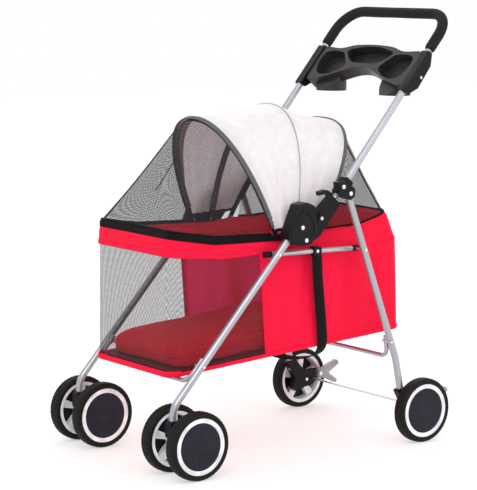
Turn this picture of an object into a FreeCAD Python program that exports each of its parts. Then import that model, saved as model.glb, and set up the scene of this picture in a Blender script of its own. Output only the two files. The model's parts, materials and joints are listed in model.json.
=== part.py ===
import FreeCAD, Part
import math
import os
import Sketcher
from FreeCAD import Placement, Rotation, Vector

# Folding pet stroller. Millimetres. +X is the stroller's left, +Y its back, +Z up.
# The origin is on the floor, in the middle of the length and the width.

SIZES = [
    ("overall_length", 832, "front tyre to the back of the grip"),
    ("wheel_diameter", 150, "all six wheels"),
    ("wheel_width", 30, "tyre width"),
    ("ring_outer", 62, "radius of the white rim ring"),
    ("ring_inner", 52.2, "inner radius of the rim ring's outer face"),
    ("cap_radius", 52, "round cap on each wheel's outer face"),
    ("hub_radius", 14, "hub barrel"),
    ("axle_radius", 4, "wheel axles"),
    ("running_gap", 0.05, "radial play of a wheel or a pivot on its pin"),
    ("spoke_width", 20, "wheel spoke"),
    ("spoke_depth", 14, "wheel spoke along the axle"),
    ("caster_trail", 31, "front axle behind the swivel axis"),
    ("twin_offset", 46.9, "each front wheel from the middle of its pair"),
    ("rear_wheel_x", 230, "middle of a rear wheel"),
    ("rear_axle_y", 300, "rear axle"),
    ("frame_x", 187, "front legs and handle arms"),
    ("tube_radius", 8, "leg and handle tube"),
    ("bar_radius", 5, "cross bar tube"),
    ("rail_radius", 6, "side rail tube"),
    ("tube_wall", 1.2, "wall of every tube"),
    ("rail_x", 172, "side rails"),
    ("rear_leg_x", 206, "rear legs"),
    ("leg_angle", 48.2, "front leg above the horizontal, degrees"),
    ("leg_y", -199, "a point on the front leg's axis"),
    ("leg_z", 345, "height of that point"),
    ("leg_bend", 40, "bend radius above the caster"),
    ("stem_z", 125, "lower end of the front leg"),
    ("handle_angle", 50.35, "handle arm above the horizontal, degrees"),
    ("handle_y", 101, "a point on the handle arm's axis"),
    ("handle_z", 620, "height of that point"),
    ("handle_tail", 150, "from that point down to the tube's end"),
    ("handle_bend", 62, "bend radius of the handle's corners"),
    ("grip_radius", 12.5, "foam grip"),
    ("pin_radius", 3, "hinge pins"),
    ("fold_y", -28, "handle hinge"),
    ("fold_z", 491, "handle hinge"),
    ("knee_y", 85, "rear leg's pivot on the handle"),
    ("knee_z", 590, "rear leg's pivot on the handle"),
    ("rail_front_y", -94, "side rail's pivot on the front leg"),
    ("rail_front_z", 462, "side rail's pivot on the front leg"),
    ("rail_back_y", 136, "side rail's pivot on the rear leg"),
    ("rail_back_z", 459, "side rail's pivot on the rear leg"),
    ("hook_y", 16, "lock hook's pivot"),
    ("hook_z", 537, "lock hook's pivot"),
    ("housing_width", 32, "hinge housing along X"),
    ("latch_width", 22, "latch block along X"),
    ("latch_slot", 22.8, "slot in the hinge housing"),
    ("basket_width", 304, "fabric basket outside"),
    ("basket_wall", 3, "basket wall and floor"),
    ("basket_corner", 30, "basket corner radius seen from above"),
    ("board_depth", 5, "floor board"),
    ("cushion_depth", 50, "floor cushion"),
    ("rim_z", 486, "top of the basket's front half"),
    ("zip_depth", 14, "zip band on the rim"),
    ("zip_wall", 4, "zip band"),
    ("canopy_z", 503, "feet of the canopy bows"),
    ("bow_width", 6, "canopy bow strip"),
    ("bow_depth", 2, "canopy bow strip"),
    ("strap_width", 28, "belly strap"),
    ("strap_depth", 1.6, "belly strap"),
    ("cup_outer", 36.5, "cup holder outside radius"),
    ("cup_inner", 33.5, "cup holder bore radius"),
    ("cup_x", 116, "cup holder from the middle"),
    ("cup_y", 297, "cup holder axis"),
    ("cup_z", 798, "underside of a cup holder"),
    ("cup_floor", 3, "floor of a cup holder"),
    ("tray_top", 6, "tray rim above the handle arm's axis"),
    ("tray_depth", 22, "tray body"),
    ("tray_pocket", 17, "middle compartment"),
]

doc = FreeCAD.newDocument("pet_stroller")
sheet = doc.addObject("Spreadsheet::Sheet", "Sizes")
for row, (alias, value, note) in enumerate(SIZES, start=1):
    sheet.set(f"A{row}", note)
    sheet.set(f"B{row}", str(value))
    sheet.setAlias(f"B{row}", alias)
doc.recompute()

SIDES = [("left", 1), ("right", -1)]
nodes = []


def size(alias):
    return float(sheet.get(alias))


def node(item, label):
    """Names an object as one of the stroller's sub-parts."""
    item.Label = label
    nodes.append(item)
    return item


# ---------------------------------------------------------------- helpers


def origin_plane(body, role):
    return next(item for item in body.Origin.OriginFeatures if item.Role == role)


def new_sketch(body, role, name):
    sketch = body.newObject("Sketcher::SketchObject", name)
    sketch.AttachmentSupport = (origin_plane(body, role), [""])
    sketch.MapMode = "FlatFace"
    return sketch


def rounded_path(points, radius, closed):
    """Straight runs through the points, joined by arcs of one radius."""
    count = len(points)
    corners = []
    for index, point in enumerate(points):
        if radius == 0 or (not closed and index in (0, count - 1)):
            corners.append((point, point, None))
            continue
        before = (points[index - 1] - point).normalize()
        after = (points[(index + 1) % count] - point).normalize()
        half = before.getAngle(after) / 2
        reach = radius / math.tan(half)
        middle = point + (before + after).normalize() * (radius / math.sin(half) - radius)
        corners.append((point + before * reach, point + after * reach, middle))
    curves = []
    for index in range(count):
        start, end, middle = corners[index]
        if middle is not None:
            curves.append(Part.Arc(start, middle, end))
        if closed or index < count - 1:
            following = corners[(index + 1) % count][0]
            curves.append(Part.LineSegment(end, following))
    return curves


def draw_path(sketch, points, radius=0, closed=True):
    flat = [Vector(point[0], point[1], 0) for point in points]
    for curve in rounded_path(flat, radius, closed):
        sketch.addGeometry(curve, False)


def draw_circle(sketch, name, centre, formula):
    index = sketch.addGeometry(Part.Circle(Vector(centre[0], centre[1], 0), Vector(0, 0, 1), 1), False)
    bound = sketch.addConstraint(Sketcher.Constraint("Radius", index, 1))
    sketch.renameConstraint(bound, name)
    sketch.setExpression("Constraints." + name, formula)
    for axis, value in (("DistanceX", centre[0]), ("DistanceY", centre[1])):
        sketch.addConstraint(Sketcher.Constraint(axis, -1, 1, index, 3, value))


def new_body(name):
    return doc.addObject("PartDesign::Body", name)


def plate(name, outline, radius, thickness, centre_x, holes=()):
    """A plate cut to a side-view outline (y, z), thickness along X, with cross holes."""
    body = new_body(name)
    sketch = new_sketch(body, "YZ_Plane", name + "_outline")
    draw_path(sketch, outline, radius)
    for index, (y, z, formula) in enumerate(holes):
        draw_circle(sketch, f"hole_{index}", (y, z), formula)
    pad = body.newObject("PartDesign::Pad", name + "_pad")
    pad.Profile = sketch
    pad.Midplane = True
    pad.setExpression("Length", thickness)
    body.Placement = Placement(Vector(centre_x, 0, 0), Rotation())
    return body


def turned(name, profile):
    """A body turned about its own X axis from a profile of (x, radius) points."""
    body = new_body(name)
    sketch = new_sketch(body, "XY_Plane", name + "_profile")
    draw_path(sketch, profile)
    turn = body.newObject("PartDesign::Revolution", name + "_turn")
    turn.Profile = sketch
    turn.ReferenceAxis = (sketch, ["H_Axis"])
    turn.Angle = 360
    return body


def tube(name, route, bend, outer, wall="Sizes.tube_wall"):
    """A round tube along a flat route of world points, with tangent arcs at its corners."""
    first = (route[1] - route[0]).normalize()
    if len(route) == 2:
        guide = Vector(1, 0, 0) if abs(first.x) < 0.9 else Vector(0, 0, 1)
        across = (guide - first * guide.dot(first)).normalize()
    else:
        turn = route[2] - route[1]
        across = (turn - first * turn.dot(first)).normalize()
    normal = across.cross(first)
    body = new_body(name)
    profile = new_sketch(body, "XZ_Plane", name + "_section")
    draw_circle(profile, "outside", (0, 0), outer)
    draw_circle(profile, "inside", (0, 0), f"{outer} - {wall}")
    flat = [((point - route[0]).dot(across), (point - route[0]).dot(first)) for point in route]
    path = new_sketch(body, "XY_Plane", name + "_route")
    draw_path(path, flat, bend, closed=False)
    sweep = body.newObject("PartDesign::AdditivePipe", name + "_sweep")
    sweep.Profile = profile
    sweep.Spine = (path, [])
    frame = FreeCAD.Matrix(
        across.x, first.x, normal.x, route[0].x,
        across.y, first.y, normal.y, route[0].y,
        across.z, first.z, normal.z, route[0].z,
        0, 0, 0, 1,
    )
    body.Placement = Placement(frame)
    return body


def cylinder(name, start, direction, length, radius):
    item = doc.addObject("Part::Cylinder", name)
    item.setExpression("Radius", radius)
    item.Height = length
    item.Placement = Placement(start, Rotation(Vector(0, 0, 1), direction))
    return item


def cross_pin(name, y, z, x_from, x_to, radius):
    return cylinder(name, Vector(x_from, y, z), Vector(1, 0, 0), x_to - x_from, radius)


def rivet(name, y, z, x_from, x_to, radius="Sizes.pin_radius", head=5.2, head_depth=1.6):
    """A pin with a flat round head at each end."""
    shank = cross_pin(name + "_shank", y, z, x_from, x_to, radius)
    heads = []
    for end, low in (("a", x_from - head_depth), ("b", x_to)):
        heads.append(cross_pin(name + "_head_" + end, y, z, low, low + head_depth, str(head)))
    return fuse(name, [shank] + heads)


def fuse(name, items):
    item = doc.addObject("Part::MultiFuse", name)
    item.Shapes = items
    return item


def cut(name, base, tools):
    item = doc.addObject("Part::Cut", name)
    item.Base = base
    item.Tool = tools[0] if len(tools) == 1 else fuse(name + "_tools", tools)
    return item


def group(label, items):
    item = doc.addObject("Part::Compound", label)
    item.Links = items
    return node(item, label)


def drilled(name, base, holes, x_middle, radius="Sizes.pin_radius"):
    """Cross holes along X through a part near x_middle."""
    tools = []
    for index, (y, z) in enumerate(holes):
        hole_name = f"{name}_hole_{index}"
        tools.append(cross_pin(hole_name, y, z, x_middle - 30, x_middle + 30, radius))
    return cut(name, base, tools)


def strip(points, thickness):
    """Closed outline of a strip of even thickness along an open path of (a, b) points."""
    sides = ([], [])
    for index, (a, b) in enumerate(points):
        before = points[max(index - 1, 0)]
        after = points[min(index + 1, len(points) - 1)]
        along = Vector(after[0] - before[0], after[1] - before[1], 0).normalize()
        offset = Vector(-along.y, along.x, 0) * (thickness / 2)
        sides[0].append((a + offset.x, b + offset.y))
        sides[1].append((a - offset.x, b - offset.y))
    return sides[0] + sides[1][::-1]


def sheet_solid(label, point_at, rows, columns, thickness):
    """A thin closed solid on both sides of a curved sheet, point_at(row, column) in 0 to 1."""
    grid = [[point_at(i / rows, j / columns) for j in range(columns + 1)] for i in range(rows + 1)]
    outer, inner = {}, {}
    for i in range(rows + 1):
        for j in range(columns + 1):
            down = grid[min(i + 1, rows)][j] - grid[max(i - 1, 0)][j]
            along = grid[i][min(j + 1, columns)] - grid[i][max(j - 1, 0)]
            normal = down.cross(along).normalize() * (thickness / 2)
            outer[i, j] = grid[i][j] + normal
            inner[i, j] = grid[i][j] - normal
    faces = []

    def quad(a, b, c, d):
        for corners in ((a, b, c), (a, c, d)):
            faces.append(Part.Face(Part.makePolygon([*corners, corners[0]])))

    for i in range(rows):
        for j in range(columns):
            cell = [(i, j), (i + 1, j), (i + 1, j + 1), (i, j + 1)]
            quad(*[outer[key] for key in cell])
            quad(*[inner[key] for key in reversed(cell)])
    rim = [(i, 0) for i in range(rows)] + [(rows, j) for j in range(columns)]
    rim += [(i, columns) for i in range(rows, 0, -1)] + [(0, j) for j in range(columns, 0, -1)]
    for here, there in zip(rim, rim[1:] + rim[:1]):
        quad(outer[here], inner[here], inner[there], outer[there])
    solid = Part.makeSolid(Part.makeShell(faces))
    if solid.Volume < 0:
        solid.reverse()
    item = doc.addObject("Part::Feature", label)
    item.Shape = solid
    item.Placement = Placement()
    return node(item, label)


# ---------------------------------------------------------------- shared lines

wheel_radius = size("wheel_diameter") / 2
front_axle_y = wheel_radius - size("overall_length") / 2
stem_y = front_axle_y - size("caster_trail")
leg_slope = math.radians(size("leg_angle"))
handle_slope = math.radians(size("handle_angle"))
frame_x = size("frame_x")
tube_radius = size("tube_radius")
pivot_hole = "Sizes.pin_radius + Sizes.running_gap"
fold = (size("fold_y"), size("fold_z"))
knee = (size("knee_y"), size("knee_z"))
rail_front = (size("rail_front_y"), size("rail_front_z"))
rail_back = (size("rail_back_y"), size("rail_back_z"))
hook_pivot = (size("hook_y"), size("hook_z"))


def on_leg(z):
    """The front leg's axis at a height, as (y, z)."""
    return (size("leg_y") + (z - size("leg_z")) / math.tan(leg_slope), z)


def on_handle(along, above=0.0):
    """A point by the handle arm: along its axis, and above it square to the arms' plane."""
    y = size("handle_y") + along * math.cos(handle_slope) - above * math.sin(handle_slope)
    z = size("handle_z") + along * math.sin(handle_slope) + above * math.cos(handle_slope)
    return (y, z)


def at(x, point):
    return Vector(x, point[0], point[1])


leg_direction = Vector(0, math.cos(leg_slope), math.sin(leg_slope))
handle_direction = Vector(0, math.cos(handle_slope), math.sin(handle_slope))

# ---------------------------------------------------------------- wheels


def wheel(name, place, barrel):
    """Tyre, hub and cap of one wheel. The cap is on the local +X face, and the barrel
    reaches towards -X as far as the fork or bracket beside it."""
    half = size("wheel_width") / 2
    ring = size("ring_outer")
    inner = size("ring_inner")
    shoulder = wheel_radius - 1.2
    tread = [
        (-half + 1, ring), (-half, ring + 4), (-half, ring + 7), (-half + 4, shoulder),
        (-half + 9, wheel_radius), (half - 9, wheel_radius), (half - 4, shoulder),
        (half, ring + 7), (half, ring + 4), (half - 1, ring),
    ]
    tyre = turned(name + "_tyre", tread)
    lip = half - 2
    web = half - 6
    bore = size("axle_radius") + size("running_gap")
    barrel_radius = size("hub_radius")
    hub = new_body(name + "_hub")
    rim_profile = new_sketch(hub, "XY_Plane", name + "_rim")
    rim_outline = [(-lip, inner + 2), (-lip, ring), (lip, ring), (lip, inner), (-4, inner)]
    barrel_outline = [(-barrel, bore), (-barrel, barrel_radius), (web, barrel_radius), (web, bore)]
    draw_path(rim_profile, rim_outline)
    draw_path(rim_profile, barrel_outline)
    turn = hub.newObject("PartDesign::Revolution", name + "_rim_turn")
    turn.Profile = rim_profile
    turn.ReferenceAxis = (rim_profile, ["H_Axis"])
    turn.Angle = 360
    spoke_profile = new_sketch(hub, "YZ_Plane", name + "_spoke_profile")
    wide = size("spoke_width") / 2
    draw_path(spoke_profile, [(-wide / 2, 12), (wide / 2, 12), (wide, 55), (-wide, 55)])
    spoke = hub.newObject("PartDesign::Pad", name + "_spoke")
    spoke.Profile = spoke_profile
    spoke.Midplane = True
    spoke.setExpression("Length", "Sizes.spoke_depth")
    spokes = hub.newObject("PartDesign::PolarPattern", name + "_spokes")
    spokes.Originals = [spoke]
    spokes.Axis = (rim_profile, ["H_Axis"])
    spokes.Angle = 360
    spokes.Occurrences = 5
    hub.Tip = spokes
    radius = size("cap_radius")
    face = [(web + 0.5, 0), (web + 0.5, radius), (lip - 1, radius), (lip, radius - 4), (lip + 1, 0)]
    cap = turned(name + "_cap", face)
    for body in (tyre, hub, cap):
        body.Placement = place
        node(body, body.Name)


outward = {1: Rotation(), -1: Rotation(Vector(0, 0, 1), 180)}
fork_half = 11
twin = size("twin_offset")
for side, sign in SIDES:
    caster_x = sign * frame_x
    for spot, step in (("outer", 1), ("inner", -1)):
        hub_x = caster_x + sign * step * twin
        place = Placement(Vector(hub_x, front_axle_y, wheel_radius), outward[sign * step])
        wheel(f"front_wheel_{side}_{spot}", place, twin - fork_half - 0.3)

    # Caster fork: a block between the twin wheels, with a pin up into the leg.
    fork_outline = [
        (stem_y - 13, size("stem_z") - 0.5), (stem_y + 14, size("stem_z") - 0.5),
        (front_axle_y + 12, wheel_radius + 8), (front_axle_y + 12, wheel_radius - 13),
        (front_axle_y - 12, wheel_radius - 13), (stem_y - 13, size("stem_z") - 34),
    ]
    axle_hole = [(front_axle_y, wheel_radius, "Sizes.axle_radius")]
    block = plate(f"caster_block_{side}", fork_outline, 6, str(2 * fork_half), caster_x, axle_hole)
    stem_low = Vector(caster_x, stem_y, size("stem_z") - 12)
    stem_radius = "Sizes.tube_radius - Sizes.tube_wall - 0.1"
    stem = cylinder(f"caster_stem_{side}", stem_low, Vector(0, 0, 1), 21, stem_radius)
    node(fuse(f"caster_fork_{side}", [block, stem]), f"caster_fork_{side}")
    axle_half = twin + 8
    axle = cross_pin(f"caster_axle_{side}", front_axle_y, wheel_radius,
                     caster_x - axle_half, caster_x + axle_half, "Sizes.axle_radius")
    node(axle, f"caster_axle_{side}")

    rear_x = sign * size("rear_wheel_x")
    place = Placement(Vector(rear_x, size("rear_axle_y"), wheel_radius), outward[sign])
    wheel(f"rear_wheel_{side}", place, 15.2)

# ---------------------------------------------------------------- front frame

bar_radius = size("bar_radius")
u_bar_x = frame_x - tube_radius - bar_radius - 0.2
u_bar_top = 247
u_bar_low = 203
u_rivet = on_leg(234)
leg_top = 556
for side, sign in SIDES:
    x = sign * frame_x
    knee_point = Vector(x, stem_y, size("leg_z") + (stem_y - size("leg_y")) * math.tan(leg_slope))
    route = [Vector(x, stem_y, size("stem_z")), knee_point, at(x, on_leg(leg_top))]
    plain = tube(f"front_leg_tube_{side}", route, size("leg_bend"), "Sizes.tube_radius")
    leg = drilled(f"front_leg_{side}", plain, [rail_front, u_rivet], x)
    node(leg, f"front_leg_{side}")

route = [
    at(u_bar_x, on_leg(u_bar_top)), at(u_bar_x, on_leg(u_bar_low)),
    at(-u_bar_x, on_leg(u_bar_low)), at(-u_bar_x, on_leg(u_bar_top)),
]
plain = tube("front_u_tube", route, 22, "Sizes.bar_radius")
one_side = drilled("front_u_drilled", plain, [u_rivet], u_bar_x)
node(drilled("front_u_bar", one_side, [u_rivet], -u_bar_x), "front_u_bar")

# Hinge housing: a moulded shell round the top of the front leg. Its back half is a
# slot between two cheeks, and the handle's latch block turns in that slot.
housing_outline = [
    (-79, 499), (-64, 484), (-43, 478), (-14, 482), (4, 503),
    (1, 552), (-4, 566), (-26, 575), (-48, 571),
]
slot_edge = 13.5


def beside_leg(z, offset):
    """A point at a distance behind the front leg's axis, square to it."""
    y, level = on_leg(z)
    return (y + offset * math.sin(leg_slope), level - offset * math.cos(leg_slope))


housings = []
for side, sign in SIDES:
    x = sign * frame_x
    holes = [(fold[0], fold[1], "Sizes.pin_radius")]
    shell = plate(f"housing_shell_{side}", housing_outline, 7, "Sizes.housing_width", x, holes)
    slot_outline = [beside_leg(440, slot_edge), (60, 440), (60, 620), beside_leg(620, slot_edge)]
    slot = plate(f"housing_slot_{side}", slot_outline, 0, "Sizes.latch_slot", x)
    bore = cylinder(f"housing_bore_{side}", at(x, on_leg(440)), leg_direction, 155.6, "Sizes.tube_radius")
    housings.append(cut(f"hinge_housing_{side}", shell, [slot, bore]))
group("hinge_housings", housings)

# ---------------------------------------------------------------- handle

tail = -size("handle_tail")
grip_y = size("overall_length") / 2 - size("grip_radius")
reach = (grip_y - size("handle_y")) / math.cos(handle_slope)
route = [
    at(frame_x, on_handle(tail)), at(frame_x, on_handle(reach)),
    at(-frame_x, on_handle(reach)), at(-frame_x, on_handle(tail)),
]
node(tube("handle_tube", route, size("handle_bend"), "Sizes.tube_radius"), "handle_tube")

grip_start = 368
route = [
    at(frame_x, on_handle(grip_start)), at(frame_x, on_handle(reach)),
    at(-frame_x, on_handle(reach)), at(-frame_x, on_handle(grip_start)),
]
grip_wall = "(Sizes.grip_radius - Sizes.tube_radius)"
grip = tube("foam_grip", route, size("handle_bend"), "Sizes.grip_radius", grip_wall)
node(grip, "foam_grip")

latch_outline = [(-28, 477), (14, 496), (72, 565), (50, 586), (8, 549), (-38, 499)]
hook_outline = [
    (6, 530), (16, 526), (28, 533), (47, 570), (45, 592), (27, 600),
    (1, 595), (3, 588), (24, 590), (33, 579), (8, 545),
]
web_outline = [(9, 596.5), (27, 600), (38, 597), (35, 590.5), (24, 590.5), (10, 588.8)]
cheek_outline = [(50, 617), (76, 617), (98, 600), (98, 583), (86, 575), (66, 580), (53, 584)]
bridge_outline = [(50, 617), (76, 617), (84, 609), (70, 601), (52, 600)]
block_outline = [on_handle(-46, -13), on_handle(-2, -13), on_handle(-2, 13), on_handle(-46, 13)]
clamp_corners = [(244, 9), (362, 9), (362, -5), (338, -20), (276, -23), (246, -8)]
clamp_outline = [on_handle(*point) for point in clamp_corners]
latches, brackets, clamps, handle_pins = [], [], [], []
for side, sign in SIDES:
    x = sign * frame_x
    far_down = at(x, on_handle(-220))
    holes = [(fold[0], fold[1], pivot_hole), (hook_pivot[0], hook_pivot[1], "Sizes.pin_radius")]
    solid = plate(f"latch_solid_{side}", latch_outline, 7, "Sizes.latch_width", x, holes)
    bore = cylinder(f"latch_bore_{side}", far_down, handle_direction, 400, "Sizes.tube_radius")
    latches.append(cut(f"latch_block_{side}", solid, [bore]))

    # Lock hook: a curved cheek outside the latch block, with a lip that reaches over it.
    hook_hole = [(hook_pivot[0], hook_pivot[1], pivot_hole)]
    hook_cheek = plate(f"hook_cheek_{side}", hook_outline, 1.5, "2.6", x + sign * 12.8, hook_hole)
    hook_lip = plate(f"hook_lip_{side}", web_outline, 1, "14.1", x + sign * 7.05)
    node(fuse(f"lock_hook_{side}", [hook_cheek, hook_lip]), f"lock_hook_{side}")

    # Rear leg bracket: a block on the handle arm and a cheek outside the rear leg.
    block = plate(f"bracket_block_{side}", block_outline, 5, "20.6", x + sign * 0.3)
    cheek_hole = [(knee[0], knee[1], "Sizes.pin_radius")]
    cheek = plate(f"bracket_cheek_{side}", cheek_outline, 6, "3", sign * 215.9, cheek_hole)
    bridge = plate(f"bracket_bridge_{side}", bridge_outline, 3, "17.6", sign * 206.2)
    whole = fuse(f"bracket_whole_{side}", [block, cheek, bridge])
    tools = [
        cylinder(f"bracket_bore_{side}", far_down, handle_direction, 400, "Sizes.tube_radius"),
        cross_pin(f"bracket_pin_hole_{side}", knee[0], knee[1], x - 25, x + 25, "Sizes.pin_radius"),
    ]
    brackets.append(cut(f"leg_bracket_{side}", whole, tools))

    clamp = plate(f"clamp_solid_{side}", clamp_outline, 4, "22.6", sign * 187.5)
    bore = cylinder(f"clamp_bore_{side}", far_down, handle_direction, 700, "Sizes.tube_radius")
    clamps.append(cut(f"tray_clamp_{side}", clamp, [bore]))

    knee_pin = sorted((sign * 195.2, sign * 217.4))
    handle_pins.append(cross_pin(f"knee_pin_{side}", *knee, *knee_pin, "Sizes.pin_radius"))
    knee_head = sorted((sign * 217.4, sign * 219))
    handle_pins.append(cross_pin(f"knee_head_{side}", *knee, *knee_head, "5.2"))
    hook_pin = sorted((x - sign * 11.05, x + sign * 14.3))
    handle_pins.append(rivet(f"hook_pin_{side}", *hook_pivot, hook_pin[0], hook_pin[1], head=4.2))
    bracket_face = sorted((sign * 217.4, sign * 219))
    handle_pins.append(cross_pin(f"bracket_rivet_{side}", 64, 606, *bracket_face, "5.2"))
    clamp_face = sorted((sign * 198.8, sign * 200))
    handle_pins.append(cross_pin(f"clamp_screw_{side}", *on_handle(300, -14), *clamp_face, "3.5"))
group("latch_blocks", latches)
group("leg_brackets", brackets)
group("tray_clamps", clamps)
group("handle_fasteners", handle_pins)

# Parent tray: a shallow moulding across the arms, with a compartment in the middle
# and an upright cup holder near each end.
tray_half = 176
half_outline = [
    (0, 372), (34, 371), (72, 364), (118, 354), (150, 360), (tray_half, 364),
    (tray_half, 258), (148, 262), (112, 272), (76, 294), (40, 311), (0, 316),
]
tray_outline = half_outline + [(-u, v) for u, v in half_outline[-2:0:-1]]
tray_body = new_body("tray_body")
tray_sketch = new_sketch(tray_body, "XY_Plane", "tray_outline")
draw_path(tray_sketch, tray_outline, 8)
tray_pad = tray_body.newObject("PartDesign::Pad", "tray_pad")
tray_pad.Profile = tray_sketch
tray_pad.Reversed = True
tray_pad.setExpression("Length", "Sizes.tray_depth")
pocket_sketch = new_sketch(tray_body, "XY_Plane", "tray_compartment")
pocket_outline = [
    (-62, 326), (-22, 330), (22, 330), (62, 326), (74, 350), (30, 364), (-30, 364), (-74, 350),
]
draw_path(pocket_sketch, pocket_outline, 8)
pocket = tray_body.newObject("PartDesign::Pocket", "tray_pocket_cut")
pocket.Profile = pocket_sketch
pocket.setExpression("Length", "Sizes.tray_pocket")
tilt = Rotation(Vector(1, 0, 0), size("handle_angle"))
tray_origin = on_handle(0, size("tray_top"))
tray_body.Placement = Placement(at(0, tray_origin), tilt)
trim = doc.addObject("Part::Box", "cup_trim")
trim.Length = 500
trim.Width = 400
trim.Height = 200
trim.Placement = Placement(at(-250, on_handle(100, size("tray_top"))), tilt)
cups, bores = [], []
for side, sign in SIDES:
    foot = Vector(sign * size("cup_x"), size("cup_y"), size("cup_z"))
    cups.append(cylinder(f"cup_wall_{side}", foot, Vector(0, 0, 1), 120, "Sizes.cup_outer"))
    floor = foot + Vector(0, 0, size("cup_floor"))
    bores.append(cylinder(f"cup_bore_{side}", floor, Vector(0, 0, 1), 200, "Sizes.cup_inner"))
trimmed = cut("cups_trimmed", fuse("cup_walls", cups), [trim])
node(cut("parent_tray", fuse("tray_with_cups", [tray_body, trimmed]), bores), "parent_tray")

# ---------------------------------------------------------------- rear frame

rear_leg_x = size("rear_leg_x")
leg_run = (rail_back[0] - knee[0]) / (knee[1] - rail_back[1])


def on_rear_leg(z):
    return (knee[0] + (knee[1] - z) * leg_run, z)


rear_foot = (258, 104)
rear_u_x = rear_leg_x - tube_radius - bar_radius - 0.2
rear_u_top = on_rear_leg(252)
rear_u_low = (224, 203)
rear_u_rivet = (216.5, 240)
axle = (size("rear_axle_y"), wheel_radius)
pedal_pivot = (343, 85)
rod_at = (317, 76)
bracket_outline = [
    (239, 124), (262, 131), (282, 108), (304, 98), (329, 96), (329, 70),
    (316, 60), (292, 56), (268, 47), (256, 58), (264, 82),
]
arm_outline = [(290, 60), (330, 66), (352, 76), (354, 92), (342, 97), (300, 97)]
pedal_outline = [
    (334, 80), (342, 74), (362, 70), (391, 56), (397, 64),
    (368, 84), (402, 105), (396, 115), (352, 99), (337, 95),
]
pedal_x = 202
wheel_brackets, rear_pins = [], []
for side, sign in SIDES:
    x = sign * rear_leg_x
    route = [at(x, rear_foot), at(x, on_rear_leg(198)), at(x, on_rear_leg(knee[1] + 10))]
    plain = tube(f"rear_leg_tube_{side}", route, 120, "Sizes.tube_radius")
    knee_drilled = drilled(f"rear_leg_knee_{side}", plain, [knee], x, pivot_hole)
    leg = drilled(f"rear_leg_{side}", knee_drilled, [rail_back, rear_u_rivet], x)
    node(leg, f"rear_leg_{side}")

    holes = [(axle[0], axle[1], "Sizes.axle_radius"), (rod_at[0], rod_at[1], "Sizes.pin_radius")]
    main = plate(f"bracket_main_{side}", bracket_outline, 4, "18.2", sign * 205.5, holes)
    pin_hole = [(pedal_pivot[0], pedal_pivot[1], "Sizes.pin_radius")]
    arm = plate(f"bracket_arm_{side}", arm_outline, 5, "5.6", sign * 211.8, holes + pin_hole)
    bend_point = at(x, on_rear_leg(198))
    down = (at(x, rear_foot) - bend_point).normalize()
    socket_start = at(x, rear_foot) - down * 60
    socket = cylinder(f"bracket_socket_{side}", socket_start, down, 60, "Sizes.tube_radius")
    both = fuse(f"bracket_both_{side}", [main, arm])
    wheel_brackets.append(cut(f"wheel_bracket_{side}", both, [socket]))

    pivot = [(pedal_pivot[0], pedal_pivot[1], pivot_hole)]
    node(plate(f"brake_pedal_{side}", pedal_outline, 3, "12", sign * pedal_x, pivot), f"brake_pedal_{side}")

    stub = sorted((sign * 196.5, sign * (size("rear_wheel_x") + 8)))
    rear_pins.append(cross_pin(f"rear_stub_{side}", *axle, *stub, "Sizes.axle_radius"))
    pedal_pin = sorted((sign * 195.5, sign * 214.6))
    rear_pins.append(cross_pin(f"pedal_pin_{side}", *pedal_pivot, *pedal_pin, "Sizes.pin_radius"))
    pedal_head = sorted((sign * 194, sign * 195.5))
    rear_pins.append(cross_pin(f"pedal_head_{side}", *pedal_pivot, *pedal_head, "5.2"))
    rail_pin = sorted((sign * 179.2, sign * 214.4))
    rear_pins.append(rivet(f"rail_pin_{side}", *rail_back, *rail_pin, head=3.0, head_depth=0.1))
    u_pin = sorted((sign * 187.4, sign * 214.4))
    rear_pins.append(rivet(f"rear_u_pin_{side}", *rear_u_rivet, *u_pin, head=3.6))

route = [
    at(rear_u_x, rear_u_top), at(rear_u_x, rear_u_low),
    at(-rear_u_x, rear_u_low), at(-rear_u_x, rear_u_top),
]
plain = tube("rear_u_tube", route, 22, "Sizes.bar_radius")
one_side = drilled("rear_u_drilled", plain, [rear_u_rivet], rear_u_x)
node(drilled("rear_u_bar", one_side, [rear_u_rivet], -rear_u_x), "rear_u_bar")
node(cross_pin("rear_link_rod", rod_at[0], rod_at[1], -206, 206, "Sizes.pin_radius"), "rear_link_rod")
group("wheel_brackets", wheel_brackets)
group("rear_fasteners", rear_pins)

# ---------------------------------------------------------------- side rails

rail_x = size("rail_x")
rail_line = Vector(0, rail_back[0] - rail_front[0], rail_back[1] - rail_front[1]).normalize()


def on_rail(distance):
    """A point on the side rail's axis, at a distance behind its front pivot."""
    return (rail_front[0] + rail_line.y * distance, rail_front[1] + rail_line.z * distance)


plug_outer = "Sizes.rail_radius + 0.9"
clip_at = 118
for side, sign in SIDES:
    x = sign * rail_x
    rail_start = at(x, on_rail(-24))
    plain = tube(f"rail_tube_{side}", [rail_start, at(x, on_rail(240))], 0, "Sizes.rail_radius")
    node(drilled(f"side_rail_{side}", plain, [rail_front], x, pivot_hole), f"side_rail_{side}")
    fittings = []
    for spot, start, length in (("front", -27, 18), ("back", 222, 21)):
        sleeve = cylinder(f"plug_{spot}_{side}", at(x, on_rail(start)), rail_line, length, plug_outer)
        core = cylinder(f"plug_core_{spot}_{side}", rail_start, rail_line, 264, "Sizes.rail_radius")
        fittings.append(cut(f"rail_plug_{spot}_{side}", sleeve, [core]))
    clip_y, clip_z = on_rail(clip_at)
    clip_outline = [
        (clip_y - 11, clip_z - 10), (clip_y + 11, clip_z - 10),
        (clip_y + 11, clip_z + 10), (clip_y - 11, clip_z + 10),
    ]
    clip = plate(f"clip_solid_{side}", clip_outline, 3, "16", x)
    core = cylinder(f"clip_core_{side}", rail_start, rail_line, 264, "Sizes.rail_radius")
    fittings.append(cut(f"strap_clip_{side}", clip, [core]))
    group(f"rail_fittings_{side}", fittings)

# ---------------------------------------------------------------- fabric basket

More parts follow.
